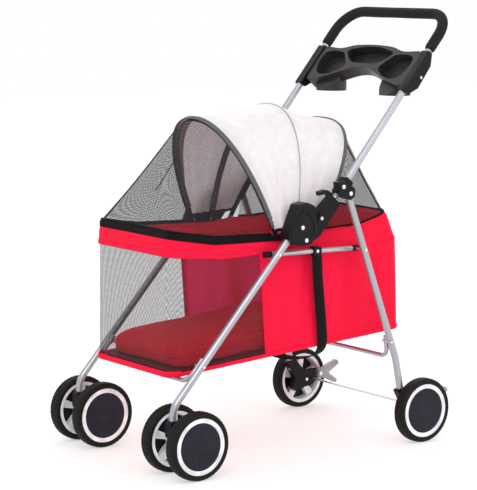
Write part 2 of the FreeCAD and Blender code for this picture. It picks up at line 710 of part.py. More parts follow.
wall = size("basket_wall")
corner = size("basket_corner")
floor_front = (-355, 209)
floor_back = (300, 258)
floor_rise = (floor_back[1] - floor_front[1]) / (floor_back[0] - floor_front[0])
floor_tilt = math.atan(floor_rise)
far = 400
over = 620
# The rim seen from the side, front to back, and the line of the back wall.
zip_back = -26
rim_line = [
    (-far, 517), (-355, 509), (-320, 503), (-240, 490), (-24, 486),
    (-20, 501), (74, 501), (171, 505), (262, 530), (far, 585),
]
back_kink = (290, 463)
back_top = (262, 530)
back_lean_low = (floor_back[0] - back_kink[0]) / (back_kink[1] - floor_back[1])
back_lean_high = (back_kink[0] - back_top[0]) / (back_top[1] - back_kink[1])


def floor_under(y):
    """Height of the basket floor's underside."""
    return floor_front[1] + (y - floor_front[0]) * floor_rise


def rim_height(y):
    """Height of the rim beside a point of the side wall."""
    for (low_y, low_z), (high_y, high_z) in zip(rim_line, rim_line[1:]):
        if low_y <= y <= high_y:
            return low_z + (y - low_y) * (high_z - low_z) / (high_y - low_y)


def wall_ends(z):
    """Where the front and back walls stand at a height."""
    lean = back_lean_low if z < back_kink[1] else back_lean_high
    return floor_front[0], back_kink[0] - (z - back_kink[1]) * lean


def basket_block(name, inset, heights):
    """The space inside the basket's walls, set in by an amount, between two side lines."""
    sections = []
    for level in (190, back_kink[1], over):
        front, back = wall_ends(level)
        half_width = size("basket_width") / 2 - inset
        plan = doc.addObject("Sketcher::SketchObject", f"{name}_plan_{level}")
        draw_path(plan, [
            (half_width, front + inset), (half_width, back - inset),
            (-half_width, back - inset), (-half_width, front + inset),
        ], corner - inset)
        plan.Placement = Placement(Vector(0, 0, level), Rotation())
        sections.append(plan)
    loft = doc.addObject("Part::Loft", name + "_walls")
    loft.Sections = sections
    loft.Solid = True
    loft.Ruled = True
    both = doc.addObject("Part::Common", name)
    both.Base = loft
    both.Tool = plate(name + "_heights", heights, 0, "Sizes.basket_width + 20", 0)
    return both


outside = basket_block("basket_outside", 0, [(-far, floor_under(-far)), *rim_line, (far, floor_under(far))])
inner_floor = [(-far, floor_under(-far) + wall), (-far, over), (far, over), (far, floor_under(far) + wall)]
inside = basket_block("basket_inside", wall, inner_floor)
node(cut("basket_shell", outside, [inside]), "basket_shell")


def floor_slab(name, depth, lift, half_width, front_y, back_y, radius):
    """A slab on the sloping basket floor: lift is its underside above the floor's underside."""
    body = new_body(name)
    sketch = new_sketch(body, "XY_Plane", name + "_plan")
    run = (back_y - front_y) / math.cos(floor_tilt)
    draw_path(sketch, [(-half_width, 0), (half_width, 0), (half_width, run), (-half_width, run)], radius)
    pad = body.newObject("PartDesign::Pad", name + "_pad")
    pad.Profile = sketch
    pad.setExpression("Length", depth)
    base_z = floor_under(front_y) + lift
    turn = Rotation(Vector(1, 0, 0), math.degrees(floor_tilt))
    body.Placement = Placement(Vector(0, front_y, base_z), turn)
    return body


board_lift = wall + 0.5
node(floor_slab("base_board", "Sizes.board_depth", board_lift, 140, -340, 287, 26), "base_board")
cushion_lift = board_lift + size("board_depth") + 0.3
node(floor_slab("floor_cushion", "Sizes.cushion_depth", cushion_lift, 142, -338, 284, 28), "floor_cushion")

# Rim wire: a hoop inside the basket's top hem.
wire_x = size("basket_width") / 2 - wall - 3.2
wire_front = -343
wire_back = 272
hoop = new_body("basket_rim_wire")
hoop_path = new_sketch(hoop, "XY_Plane", "rim_route")
hoop_corners = [
    (0, 0), (0, wire_back), (-2 * wire_x, wire_back), (-2 * wire_x, wire_front), (0, wire_front), (0, -1),
]
draw_path(hoop_path, hoop_corners, 32, closed=False)
hoop_section = new_sketch(hoop, "XZ_Plane", "rim_section")
draw_circle(hoop_section, "wire", (0, 0), "2.4")
hoop_sweep = hoop.newObject("PartDesign::AdditivePipe", "rim_sweep")
hoop_sweep.Profile = hoop_section
hoop_sweep.Spine = (hoop_path, [])
hoop.Placement = Placement(Vector(wire_x, 0, size("rim_z") - 9), Rotation())
node(hoop, "basket_rim_wire")

# Zip band: a U round the front half of the rim, between two lines that follow the rim.
half = size("basket_width") / 2
zip_body = new_body("zip_band")
zip_sketch = new_sketch(zip_body, "XY_Plane", "zip_plan")
for inset in (0, size("zip_wall")):
    side = half - inset
    end = floor_front[0] + inset
    bend = [Vector(side, zip_back), Vector(side, end), Vector(-side, end), Vector(-side, zip_back)]
    for curve in rounded_path(bend, corner - inset, False):
        zip_sketch.addGeometry(curve, False)
for x_sign in (1, -1):
    outer_end = Vector(x_sign * half, zip_back)
    inner_end = Vector(x_sign * (half - size("zip_wall")), zip_back)
    zip_sketch.addGeometry(Part.LineSegment(outer_end, inner_end), False)
zip_pad = zip_body.newObject("PartDesign::Pad", "zip_pad")
zip_pad.Profile = zip_sketch
zip_pad.Length = far
zip_body.Placement = Placement(Vector(0, 0, size("rim_z") - 40), Rotation())
zip_low = 0.3
front_rim = [point for point in rim_line if point[0] < zip_back] + [(zip_back + 1, rim_height(zip_back))]
zip_lines = [(y, z + zip_low) for y, z in front_rim]
zip_lines += [(y, z + zip_low + size("zip_depth")) for y, z in front_rim[::-1]]
zip_common = doc.addObject("Part::Common", "rim_zipper")
zip_common.Base = zip_body
zip_common.Tool = plate("zip_heights", zip_lines, 0, "Sizes.basket_width + 20", 0)
node(zip_common, "rim_zipper")

# Belly strap: webbing from one side rail's clip round under the basket to the other.
strap_lean = 8.3
strap_y = 92.3
half_strap = [
    (172, 452), (171, 440), (168, 400), (165, 300), (163, 258),
    (155, 233), (125, 212), (60, 196), (0, 190),
]
strap_path = half_strap + [(-a, b) for a, b in half_strap[-2::-1]]
strap = new_body("belly_strap")
strap_sketch = new_sketch(strap, "XZ_Plane", "strap_section")
draw_path(strap_sketch, strip(strap_path, size("strap_depth")))
strap_pad = strap.newObject("PartDesign::Pad", "strap_pad")
strap_pad.Profile = strap_sketch
strap_pad.Midplane = True
strap_pad.setExpression("Length", "Sizes.strap_width")
strap.Placement = Placement(Vector(0, strap_y, 0), Rotation(Vector(1, 0, 0), strap_lean))
node(strap, "belly_strap")

# ---------------------------------------------------------------- canopy

# Each bow: where its feet stand, its angle from the back horizontal, and the height,
# half width and fullness of its arch.
BOWS = {
    "back": (30, 59.4, 275, 158, 2.7),
    "middle": (-30, 80, 277, 155, 2.3),
    "front": (-80, 113, 271, 158, 2.2),
}


def arch(foot, angle, height, half_width, fullness, turn):
    """A point on a bow: turn runs from 0 at the left foot to pi at the right foot."""
    power = 2 / fullness
    x = half_width * math.copysign(abs(math.cos(turn)) ** power, math.cos(turn))
    rise = height * math.sin(turn) ** power
    slope = math.radians(angle)
    return Vector(x, foot + rise * math.cos(slope), size("canopy_z") + rise * math.sin(slope))


def bow(label, foot, angle, height, half_width, fullness):
    """A flat strip along the arch, with a round eye at each foot."""
    steps = 36
    slope = math.radians(angle)
    sideways = Vector(0, -math.sin(slope), math.cos(slope)) * (size("bow_width") / 2)
    depth = size("bow_depth")
    rings = []
    for index in range(steps + 1):
        turn = math.pi * index / steps
        turn = min(max(turn, 0.02), math.pi - 0.02)
        out = arch(foot, angle, height, half_width, fullness, turn)
        low = arch(foot, angle, height - depth, half_width - depth, fullness, turn)
        rings.append([out - sideways, out + sideways, low + sideways, low - sideways])
    faces = []
    for here, there in zip(rings, rings[1:]):
        for k in range(4):
            m = (k + 1) % 4
            for corners in ((here[k], here[m], there[m]), (here[k], there[m], there[k])):
                faces.append(Part.Face(Part.makePolygon([*corners, corners[0]])))
    for ring in (rings[0], rings[-1]):
        faces.append(Part.Face(Part.makePolygon([*ring, ring[0]])))
    solid = Part.makeSolid(Part.makeShell(faces))
    if solid.Volume < 0:
        solid.reverse()
    band = doc.addObject("Part::Feature", label + "_band")
    band.Shape = solid
    eyes = []
    for x_sign in (1, -1):
        ends = sorted((x_sign * half_width, x_sign * (half_width - depth)))
        eyes.append(cross_pin(f"{label}_eye_{x_sign + 1}", foot, size("canopy_z"), ends[0], ends[1], "7"))
    whole = fuse(label + "_whole", [band] + eyes)
    hole = cross_pin(label + "_hole", foot, size("canopy_z"), -200, 200, pivot_hole)
    return node(cut(label, whole, [hole]), label)


for name, shape in BOWS.items():
    bow(f"canopy_bow_{name}", *shape)


def between_bows(share):
    """Foot, angle, height, half width and fullness from the back bow, 0, to the front bow, 1."""
    low, high = ("back", "middle") if share < 0.5 else ("middle", "front")
    part = share * 2 if share < 0.5 else share * 2 - 1
    return [a + (b - a) * part for a, b in zip(BOWS[low], BOWS[high])]


foot_turn = 0.12


def cover_point(row, column):
    foot, angle, height, _, fullness = between_bows(-0.015 + 1.02 * row)
    turn = foot_turn + (math.pi - 2 * foot_turn) * column
    return arch(foot, angle, height + 3, 164.5, fullness, turn)


sheet_solid("canopy_cover", cover_point, 8, 28, 1.6)


def rim_point(share, side_y, end_y, half_width, corner_radius):
    """A point on a U round one end of the rim, from the left side to the right."""
    direction = math.copysign(1, end_y - side_y)
    straight = abs(end_y - side_y) - corner_radius
    turn = corner_radius * math.pi / 2
    across = 2 * (half_width - corner_radius)
    distance = share * (2 * straight + 2 * turn + across)
    mirrored = distance > straight + turn + across / 2
    if mirrored:
        distance = 2 * straight + 2 * turn + across - distance
    if distance < straight:
        x, y = half_width, side_y + direction * distance
    elif distance < straight + turn:
        angle = (distance - straight) / corner_radius
        x = half_width - corner_radius * (1 - math.cos(angle))
        y = side_y + direction * (straight + corner_radius * math.sin(angle))
    else:
        x, y = half_width - corner_radius - (distance - straight - turn), end_y
    return Vector(-x if mirrored else x, y, 0)


def visor_point(row, column):
    turn = foot_turn + (math.pi - 2 * foot_turn) * column
    foot, angle, height, half_width, fullness = BOWS["front"]
    top = arch(foot, angle + 1.8, height + 1, half_width + 1.5, fullness, turn)
    low = rim_point(0.03 + 0.94 * column, foot - 8, floor_front[0] + 3, half - 3, corner)
    low.z = rim_height(low.y) + size("zip_depth") + 2.3
    return top + (low - top) * row


sheet_solid("front_mesh", visor_point, 5, 28, 1.2)


def rear_mesh_point(row, column):
    turn = foot_turn + (math.pi - 2 * foot_turn) * column
    foot, angle, height, half_width, fullness = BOWS["back"]
    top = arch(foot, angle - 2.5, height + 1, half_width + 2.5, fullness, turn)
    low = rim_point(0.03 + 0.94 * column, foot + 14, back_top[0], half - 2, corner)
    low.z = rim_height(low.y) + 3
    return top + (low - top) * row


sheet_solid("rear_mesh", rear_mesh_point, 5, 28, 1.2)

# ---------------------------------------------------------------- front pins

front_pins = []
for side, sign in SIDES:
    x = sign * frame_x
    front_pins.append(rivet(f"fold_pin_{side}", fold[0], fold[1], x - 16, x + 16))
    face = sorted((sign * 203, sign * 204.6))
    front_pins.append(cross_pin(f"housing_rivet_{side}", -39, 520, face[0], face[1], "5.2"))
    rail_pin = sorted((sign * 165.6, sign * 195.3))
    front_pins.append(rivet(f"rail_front_pin_{side}", *rail_front, *rail_pin, head=3.0, head_depth=0.1))
    u_pin = sorted((sign * 168.4, sign * 195.2))
    front_pins.append(rivet(f"front_u_pin_{side}", *u_rivet, *u_pin, head=3.6))
    bow_pin = sorted((sign * 152.6, sign * 160))
    for name, shape in BOWS.items():
        pin_name = f"bow_pin_{name}_{side}"
        front_pins.append(cross_pin(pin_name, shape[0], size("canopy_z"), *bow_pin, "Sizes.pin_radius"))
group("front_fasteners", front_pins)

# ---------------------------------------------------------------- export

doc.recompute()
for item in doc.Objects:
    if "Invalid" in item.State or "Error" in item.State:
        raise RuntimeError(f"{item.Label} failed: {item.State}")
os.makedirs("parts", exist_ok=True)
for item in nodes:
    if item.Shape.isNull() or not item.Shape.isValid():
        raise RuntimeError(f"{item.Label} has no valid shape")
for item in nodes:
    item.Shape.exportStep(f"parts/{item.Label}.step")
print(len(nodes), "nodes")
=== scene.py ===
import json
import math

import bmesh
import bpy
import numpy as np
from mathutils import Matrix, Vector, noise


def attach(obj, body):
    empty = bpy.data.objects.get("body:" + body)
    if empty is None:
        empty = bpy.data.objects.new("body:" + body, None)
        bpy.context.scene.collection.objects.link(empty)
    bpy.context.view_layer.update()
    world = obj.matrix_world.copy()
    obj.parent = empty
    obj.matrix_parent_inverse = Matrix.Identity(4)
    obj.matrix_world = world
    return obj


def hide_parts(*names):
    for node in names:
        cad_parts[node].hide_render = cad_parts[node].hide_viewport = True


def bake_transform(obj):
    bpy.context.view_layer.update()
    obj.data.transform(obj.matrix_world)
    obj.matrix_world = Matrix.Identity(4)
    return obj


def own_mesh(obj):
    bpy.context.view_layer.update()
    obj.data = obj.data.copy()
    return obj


# Folding pet stroller, in metres. +X is its left, +Y its back, +Z up.

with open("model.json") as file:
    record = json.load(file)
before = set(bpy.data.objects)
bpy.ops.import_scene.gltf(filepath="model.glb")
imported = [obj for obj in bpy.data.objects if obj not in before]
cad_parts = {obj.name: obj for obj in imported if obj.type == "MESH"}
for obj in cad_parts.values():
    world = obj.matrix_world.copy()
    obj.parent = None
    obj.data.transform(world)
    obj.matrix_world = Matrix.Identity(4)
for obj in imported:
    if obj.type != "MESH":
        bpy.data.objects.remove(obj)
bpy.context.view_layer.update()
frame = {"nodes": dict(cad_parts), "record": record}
scene = bpy.context.scene
cad = frame["nodes"]
SIDES = [("left", 1), ("right", -1)]

# ---------------------------------------------------------------- camera, floor, light

camera_data = bpy.data.cameras.new("camera")
CAMERA_PLACE = (3.608, -2.750, 1.064)
CAMERA_RIGHT, CAMERA_AIM = (0.596, 0.803, 0.010), (-0.795, 0.592, -0.133)
camera_data.lens = 146.35
camera_data.sensor_width = 36
camera_data.clip_end = 60
camera = bpy.data.objects.new("camera", camera_data)
scene.collection.objects.link(camera)
forward = Vector(CAMERA_AIM).normalized()
up = Vector(CAMERA_RIGHT).normalized().cross(forward).normalized()
right = forward.cross(up).normalized()
turned = Matrix((right, up, -forward)).transposed()
camera.matrix_world = Matrix.Translation(CAMERA_PLACE) @ turned.to_4x4()
scene.camera = camera


def area_light(name, place, target, size, power, colour=(1, 1, 1)):
    light = bpy.data.lights.new(name, "AREA")
    light.shape = "RECTANGLE"
    light.size, light.size_y = size
    light.energy = power
    light.color = colour
    item = bpy.data.objects.new(name, light)
    item.location = place
    item.rotation_euler = (Vector(target) - Vector(place)).to_track_quat("-Z", "Y").to_euler()
    scene.collection.objects.link(item)


area_light("key", (2.6, -2.4, 3.4), (0, 0, 0.4), (2.2, 2.2), 62)
area_light("fill", (3.4, 2.0, 1.8), (0, 0, 0.5), (2.5, 2.5), 24)
area_light("back", (-2.6, 1.6, 2.8), (0, 0, 0.5), (2.5, 2.5), 34)
world = bpy.data.worlds.new("world")
world.use_nodes = True
world.node_tree.nodes["Background"].inputs["Color"].default_value = (1, 1, 1, 1)
world.node_tree.nodes["Background"].inputs["Strength"].default_value = 1.0
scene.world = world
scene.view_settings.view_transform = "Standard"

# ---------------------------------------------------------------- materials


class Shader:
    """A principled material and short ways to add and join its nodes."""

    def __init__(self, name, colour, roughness, metallic=0.0, **sockets):
        self.material = bpy.data.materials.new(name)
        self.material.use_nodes = True
        self.tree = self.material.node_tree
        self.main = self.tree.nodes["Principled BSDF"]
        self.set("Base Color", (*colour, 1))
        self.set("Roughness", roughness)
        self.set("Metallic", metallic)
        for socket, value in sockets.items():
            self.set(socket.replace("_", " "), value)

    def set(self, socket, value):
        self.main.inputs[socket].default_value = value

    def add(self, kind, inputs=(), **properties):
        item = self.tree.nodes.new(kind)
        for key, value in properties.items():
            setattr(item, key, value)
        for key, value in dict(inputs).items():
            if isinstance(value, bpy.types.NodeSocket):
                self.tree.links.new(value, item.inputs[key])
            else:
                item.inputs[key].default_value = value
        return item

    def place(self, scale, uv=False):
        """Texture coordinates: metres times scale, of the object or along the cloth."""
        source = self.add("ShaderNodeTexCoord").outputs["UV" if uv else "Object"]
        return self.add("ShaderNodeMapping", {"Vector": source, "Scale": scale}).outputs["Vector"]

    def noise(self, vector, scale, detail=3.0, rough=0.55):
        inputs = {"Vector": vector, "Scale": scale, "Detail": detail, "Roughness": rough}
        return self.add("ShaderNodeTexNoise", inputs).outputs["Fac"]

    def math(self, operation, a, b=0.0):
        return self.add("ShaderNodeMath", {0: a, 1: b}, operation=operation).outputs[0]

    def ramp(self, value, low, high, from_low=0.0, from_high=1.0):
        inputs = {"Value": value, "From Min": from_low, "From Max": from_high, "To Min": low, "To Max": high}
        return self.add("ShaderNodeMapRange", inputs).outputs["Result"]

    def blend(self, value, first, second):
        mix = self.add("ShaderNodeMix", data_type="RGBA")
        self.tree.links.new(value, mix.inputs["Factor"])
        mix.inputs["A"].default_value = (*first, 1)
        mix.inputs["B"].default_value = (*second, 1)
        return mix.outputs["Result"]

    def join(self, output, socket):
        self.tree.links.new(output, self.main.inputs[socket])

    def tint(self, value, from_low, from_high, colour, darker, lighter):
        """The base colour, from darker to lighter as the value rises."""
        share = self.ramp(value, 0, 1, from_low, from_high)
        self.join(self.blend(share, scaled(colour, darker), scaled(colour, lighter)), "Base Color")

    def roughen(self, value, low, high, from_low=0.3, from_high=0.7):
        self.join(self.ramp(value, low, high, from_low, from_high), "Roughness")

    def bump(self, height, strength, distance, under=None):
        inputs = {"Height": height, "Strength": strength, "Distance": distance}
        if under is not None:
            inputs["Normal"] = under
        return self.add("ShaderNodeBump", inputs).outputs["Normal"]


def scaled(colour, factor):
    return tuple(min(1.0, part * factor) for part in colour)


def painted(name, colour):
    """Glossy paint over a tube: faint orange peel, slight cloudiness, rubbed spots."""
    shader = Shader(name, colour, 0.32, 0.7, Coat_Weight=0.25, Coat_Roughness=0.15)
    place = shader.place((1, 1, 1))
    cloud = shader.noise(place, 9)
    shader.tint(cloud, 0.3, 0.7, colour, 0.94, 1.05)
    peel = shader.noise(place, 900, 2)
    shader.roughen(shader.noise(place, 40, 5), 0.28, 0.38, 0.3, 0.75)
    shader.join(shader.bump(peel, 0.05, 0.0003), "Normal")
    return shader.material


def moulded(name, colour, roughness=0.5, grain=900, depth=0.35, gloss=0.3):
    """Moulded plastic with a fine spark-eroded texture and faint handling marks."""
    shader = Shader(name, colour, roughness, 0.0, Specular_IOR_Level=gloss)
    place = shader.place((1, 1, 1))
    marks = shader.noise(place, 25, 6, 0.65)
    shader.tint(marks, 0.35, 0.7, colour, 0.8, 1.35)
    shader.roughen(marks, roughness - 0.1, roughness + 0.12)
    shader.join(shader.bump(shader.noise(place, grain, 2), depth, 0.0003), "Normal")
    return shader.material


def metal(name, colour, roughness=0.3):
    shader = Shader(name, colour, roughness, 1.0)
    place = shader.place((1, 1, 1))
    shader.roughen(shader.noise(place, 300, 4), roughness - 0.08, roughness + 0.16)
    shader.join(shader.bump(shader.noise(place, 1400, 2), 0.15, 0.0002), "Normal")
    return shader.material


def woven(name, colour, pitch, depth=0.5, roughness=0.8, sheen=0.15, ribs=False, gloss=0.25, glow=0.0,
          through=(0, 0, 0, 0)):
    """Plain weave: threads over and under, with uneven dye. Pitch is the thread spacing.

    Glow is light scattered in the cloth; through is the colour and strength of a painted glow, emission that
    stands in for light from behind it.
    """
    shader = Shader(name, colour, roughness, 0.0, Specular_IOR_Level=gloss)
    shader.set("Sheen Weight", sheen)
    shader.set("Sheen Roughness", 0.4)
    shader.set("Subsurface Weight", glow)
    # Painted light: the cloth emits the colour and strength given as through, as if lit from behind.
    shader.set("Emission Color", (*through[:3], 1))
    shader.set("Emission Strength", through[3])
    shader.set("Subsurface Radius", (1.0, 1.0, 1.0))
    shader.set("Subsurface Scale", 0.010)
    place = shader.place((1, 1, 1), True)
    parts = shader.add("ShaderNodeSeparateXYZ", {"Vector": place}).outputs
    turn = math.tau / pitch
    across = shader.math("SINE", shader.math("MULTIPLY", parts["X"], turn))
    along = shader.math("SINE", shader.math("MULTIPLY", parts["Y"], turn * (0.35 if ribs else 1)))
    weave = shader.math("MULTIPLY", across, along)
    height = shader.math("ADD", shader.math("MULTIPLY", weave, 0.5), 0.5)
    slub = shader.noise(place, 45, 5, 0.6)
    drape = shader.noise(shader.place((9, 0.9, 1), True), 1.0, 2)
    tone = shader.math("ADD", shader.math("MULTIPLY", height, 0.35), shader.math("MULTIPLY", slub, 0.65))
    tone = shader.math("ADD", shader.math("MULTIPLY", tone, 0.6), shader.math("MULTIPLY", drape, 0.4))
    shader.tint(tone, 0.32, 0.68, colour, 0.80, 1.06)
    low = shader.bump(shader.noise(place, 22, 3), 0.25, 0.002)
    shader.join(shader.bump(height, depth, pitch * 0.35, low), "Normal")
    return shader.material


def netting(name, colour, pitch, alpha, edge):
    """Open mesh: round holes in staggered rows between fine threads."""
    shader = Shader(name, colour, 0.6, 0.0, Specular_IOR_Level=0.2)
    place = shader.place((1, 1, 1), True)
    parts = shader.add("ShaderNodeSeparateXYZ", {"Vector": place}).outputs
    turn = math.tau / pitch
    first = shader.math("ADD", parts["X"], shader.math("MULTIPLY", parts["Y"], 0.577))
    second = shader.math("SUBTRACT", parts["X"], shader.math("MULTIPLY", parts["Y"], 0.577))
    a = shader.math("COSINE", shader.math("MULTIPLY", first, turn))
    b = shader.math("COSINE", shader.math("MULTIPLY", second, turn))
    holes = shader.math("MULTIPLY", a, b)
    shader.join(shader.ramp(holes, alpha[1], alpha[0], edge, edge + 0.52), "Alpha")
    shader.join(shader.bump(holes, 0.4, 0.0004), "Normal")
    return shader.material


TUBE_GREY = (0.40, 0.415, 0.45)
mat = {
    "painted_tube": painted("tube_paint", TUBE_GREY),
    "black_plastic": moulded("black_plastic", (0.006, 0.006, 0.0075), 0.36, gloss=0.15),
    "tray_plastic": moulded("tray_plastic", (0.020, 0.020, 0.023), 0.40, gloss=0.30),
    "steel_pins": metal("zinc_steel", (0.72, 0.72, 0.74), 0.28),
    "tyre": moulded("foam_tyre", (0.009, 0.0085, 0.0085), 0.60, 500, 0.6, gloss=0.14),
    "wheel_ring": moulded("white_ring", (0.78, 0.78, 0.84), 0.35, 1200, 0.15),
    "wheel_cap": moulded("dark_cap", (0.012, 0.0115, 0.019), 0.34, 1400, 0.2, gloss=0.18),
    "grip_foam": moulded("grip_foam", (0.010, 0.010, 0.011), 0.78, 650, 0.8, gloss=0.2),
    # The red, cushion and white cloths carry a painted glow: through sets an emission that stands in for light
    # through the cloth.
    "red_fabric": woven("red_cloth", (0.93, 0.006, 0.042), 0.0011, sheen=0.02, gloss=0.14, glow=0.3,
                        through=(1, 0, 0.02, 0.07)),
    "cushion_fabric": woven("cushion_cloth", (0.66, 0.008, 0.028), 0.0016, 0.8, sheen=0.03, gloss=0.12,
                            through=(1, 0, 0.02, 0.06)),
    "floor_board": moulded("board", (0.16, 0.010, 0.018), 0.7, gloss=0.2),
    "mesh_fabric": netting("netting", (0.020, 0.020, 0.024), 0.0030, (0.02, 0.86), -0.18),
    "window_net": netting("window_net", (0.030, 0.030, 0.034), 0.0030, (0.02, 0.86), -0.34),
    "canopy_fabric": woven("white_cloth", (0.83, 0.81, 0.85), 0.0011, 0.35, sheen=0.0, glow=0.6,
                           through=(1, 0.95, 0.9, 0.04)),
    "seam_thread": woven("seam_thread", (0.30, 0.30, 0.29), 0.0011, 0.5, sheen=0.0),
    # Painted shade: a grey-brown cloth for a strip just inside the front of the canopy, where its inner side
    # lies in shade.
    "painted_shade_strip": woven("painted_shade_strip", (0.48, 0.41, 0.37), 0.0013, 0.6, sheen=0.05, glow=0.4),
    "webbing": woven("webbing", (0.006, 0.006, 0.007), 0.0018, 1.0, 0.75, 0.02, ribs=True, gloss=0.1),
    "zip_tape": woven("zip_tape", (0.006, 0.006, 0.007), 0.0014, 0.9, 0.8, 0.02, gloss=0.1),
    "bow_strip": moulded("bow_strip", (0.03, 0.03, 0.032), 0.5),
    "bow_tape": woven("bow_tape", (0.13, 0.13, 0.136), 0.0014, 0.8, 0.75, 0.05),
    "pedal_plastic": moulded("pedal_plastic", (0.30, 0.31, 0.34), 0.42),
}
for row in frame["record"]["subparts"]:
    item = cad[row["node"]]
    item.data.materials.clear()
    item.data.materials.append(mat[row["material_slot"]])

floor_shader = Shader("floor", (0.50, 0.49, 0.49), 0.9, 0.0, Specular_IOR_Level=0.0)
floor_shader.set("Emission Color", (1, 0.985, 0.985, 1))
floor_shader.set("Emission Strength", 0.52)
floor_mesh = bpy.data.meshes.new("floor")
reach = 12
corners = [(-reach, -reach, 0), (reach, -reach, 0), (reach, reach, 0), (-reach, reach, 0)]
floor_mesh.from_pydata(corners, [], [(0, 1, 2, 3)])
floor_mesh.materials.append(floor_shader.material)
floor = bpy.data.objects.new("floor", floor_mesh)
scene.collection.objects.link(floor)

# ---------------------------------------------------------------- mesh helpers

# The record's slot for each material that has a slot of another name.
SLOTS = {"bow_tape": "zip_tape", "seam_thread": "canopy_fabric", "painted_shade_strip": "canopy_fabric",
         "tray_plastic": "black_plastic", "window_net": "mesh_fabric"}


def lerp(a, b, share):
    return a + (b - a) * share


def bell(value, centre, width):
    return math.exp(-(((value - centre) / width) ** 2))


def ripple(point, scale, seed=0.0):
    """Smooth noise from -1 to 1, the same at each run."""
    return noise.noise(Vector(point) * scale + Vector((seed, seed * 1.7, seed * 0.3)))


def face_outwards(mesh):
    """Winds the faces of closed solids outwards; an open sheet stays as it is."""
    shape = bmesh.new()
    shape.from_mesh(mesh)
    if all(len(edge.link_faces) == 2 for edge in shape.edges):
        bmesh.ops.recalc_face_normals(shape, faces=shape.faces)
        shape.to_mesh(mesh)
    shape.free()


def piece(name, points, faces, key, body=None, uvs=None, stands_for=(), smooth=True):
    """A new piece of the stroller, in its material, riding on a body."""
    mesh = bpy.data.meshes.new(name)
    mesh.from_pydata([tuple(point) for point in points], [], faces)
    face_outwards(mesh)
    mesh.polygons.foreach_set("use_smooth", [smooth] * len(mesh.polygons))
    if uvs is not None:
        layer = mesh.uv_layers.new(name="metres")
        for loop in mesh.loops:
            layer.data[loop.index].uv = uvs[loop.vertex_index]
    mesh.materials.append(mat[key])
    item = bpy.data.objects.new(name, mesh)
    scene.collection.objects.link(item)
    SLOTS.get(key, key)
    if body is not None:
        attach(item, body)
    if stands_for:
        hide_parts(*stands_for)
    return item


def cloth_uv(rows):
    """Metres along the cloth at every point of a grid."""
    grid = np.array([[tuple(point) for point in row] for row in rows])
    across = np.linalg.norm(np.diff(grid, axis=1), axis=2).mean(axis=0)
    down = np.linalg.norm(np.diff(grid, axis=0), axis=2).mean(axis=1)
    u = np.concatenate([[0], np.cumsum(across)])
    v = np.concatenate([[0], np.cumsum(down)])
    return [(u[j], v[i]) for i in range(len(rows)) for j in range(len(rows[0]))]


def grid_faces(rows, columns, closed=False, looped=False):
    """Quads over a grid. Closed: each row meets its own start. Looped: the last row meets the first."""
    faces = []
    for i in range(rows if looped else rows - 1):
        below = (i + 1) % rows * columns
        for j in range(columns if closed else columns - 1):
            k = (j + 1) % columns
            faces.append((i * columns + j, i * columns + k, below + k, below + j))
    return faces


def end_faces(rows, columns):
    """The two faces that close the ends of a tube of rows."""
    return [tuple(range(columns)), tuple(range((rows - 1) * columns, rows * columns))]


def thicken(item, thickness, offset=0.0):
    modifier = item.modifiers.new("cloth", "SOLIDIFY")
    modifier.thickness = thickness
    modifier.offset = offset
    modifier.use_even_offset = False
    return item


def rounder(item, width, segments=2, angle=35):
    modifier = item.modifiers.new("edges", "BEVEL")
    modifier.width = width
    modifier.segments = segments
    modifier.limit_method = "ANGLE"
    modifier.angle_limit = math.radians(angle)
    modifier.harden_normals = True
    return item


def cloth(name, rows, key, body=None, thickness=0.0012, closed=False, stands_for=(), offset=0.0):
    """A sheet over a grid of points."""
    points = [point for row in rows for point in row]
    faces = grid_faces(len(rows), len(rows[0]), closed)
    item = piece(name, points, faces, key, body, cloth_uv(rows), stands_for)
    return thicken(item, thickness, offset) if thickness else item


def frames(path, up, closed):
    """Sideways and up directions along a path."""
    result = []
    for index, point in enumerate(path):
        before = path[index - 1] if closed or index > 0 else point
        after = path[(index + 1) % len(path)] if closed or index < len(path) - 1 else point
        tangent = (Vector(after) - Vector(before)).normalized()
        side = tangent.cross(Vector(up)).normalized()
        result.append((side, side.cross(tangent).normalized()))
    return result


def sweep(name, path, section, key, body=None, up=(0, 0, 1), closed=False, stands_for=()):
    """A closed section of (sideways, up) points carried along a path."""
    path = [Vector(point) for point in path]
    points = []
    for point, (side, rise) in zip(path, frames(path, up, closed)):
        points += [point + side * a + rise * b for a, b in section]
    total, count = len(path), len(section)
    faces = grid_faces(total, count, closed=True, looped=closed)
    if not closed:
        faces += end_faces(total, count)
    length, lengths = 0.0, [0.0]
    for here, there in zip(path, path[1:]):
        length += (there - here).length
        lengths.append(length)
    around = [0.0]
    for here, there in zip(section, section[1:]):
        around.append(around[-1] + math.dist(here, there))
    uvs = [(around[j], lengths[i]) for i in range(total) for j in range(count)]
    return piece(name, points, faces, key, body, uvs, stands_for)


def disc_section(radius, steps):
    turns = [math.tau * k / steps for k in range(steps)]
    return [(radius * math.cos(turn), radius * math.sin(turn)) for turn in turns]


def band_section(width, depth, steps=3):
    """A flat strip with rounded edges: width along up, depth sideways."""
    half, edge = width / 2 - depth / 2, depth / 2
    points = []
    for centre, start in ((half, 0.0), (-half, math.pi)):
        for k in range(steps + 1):
            angle = start + math.pi * k / steps
            points.append((edge * math.cos(angle), centre + edge * math.sin(angle)))
    return points


def joined(name, parts, key, body=None, smooth=True):
    """One piece from many small (points, faces) parts."""
    points, faces = [], []
    for part_points, part_faces in parts:
        base = len(points)
        points += part_points
        faces += [tuple(base + index for index in face) for face in part_faces]
    return piece(name, points, faces, key, body, smooth=smooth)


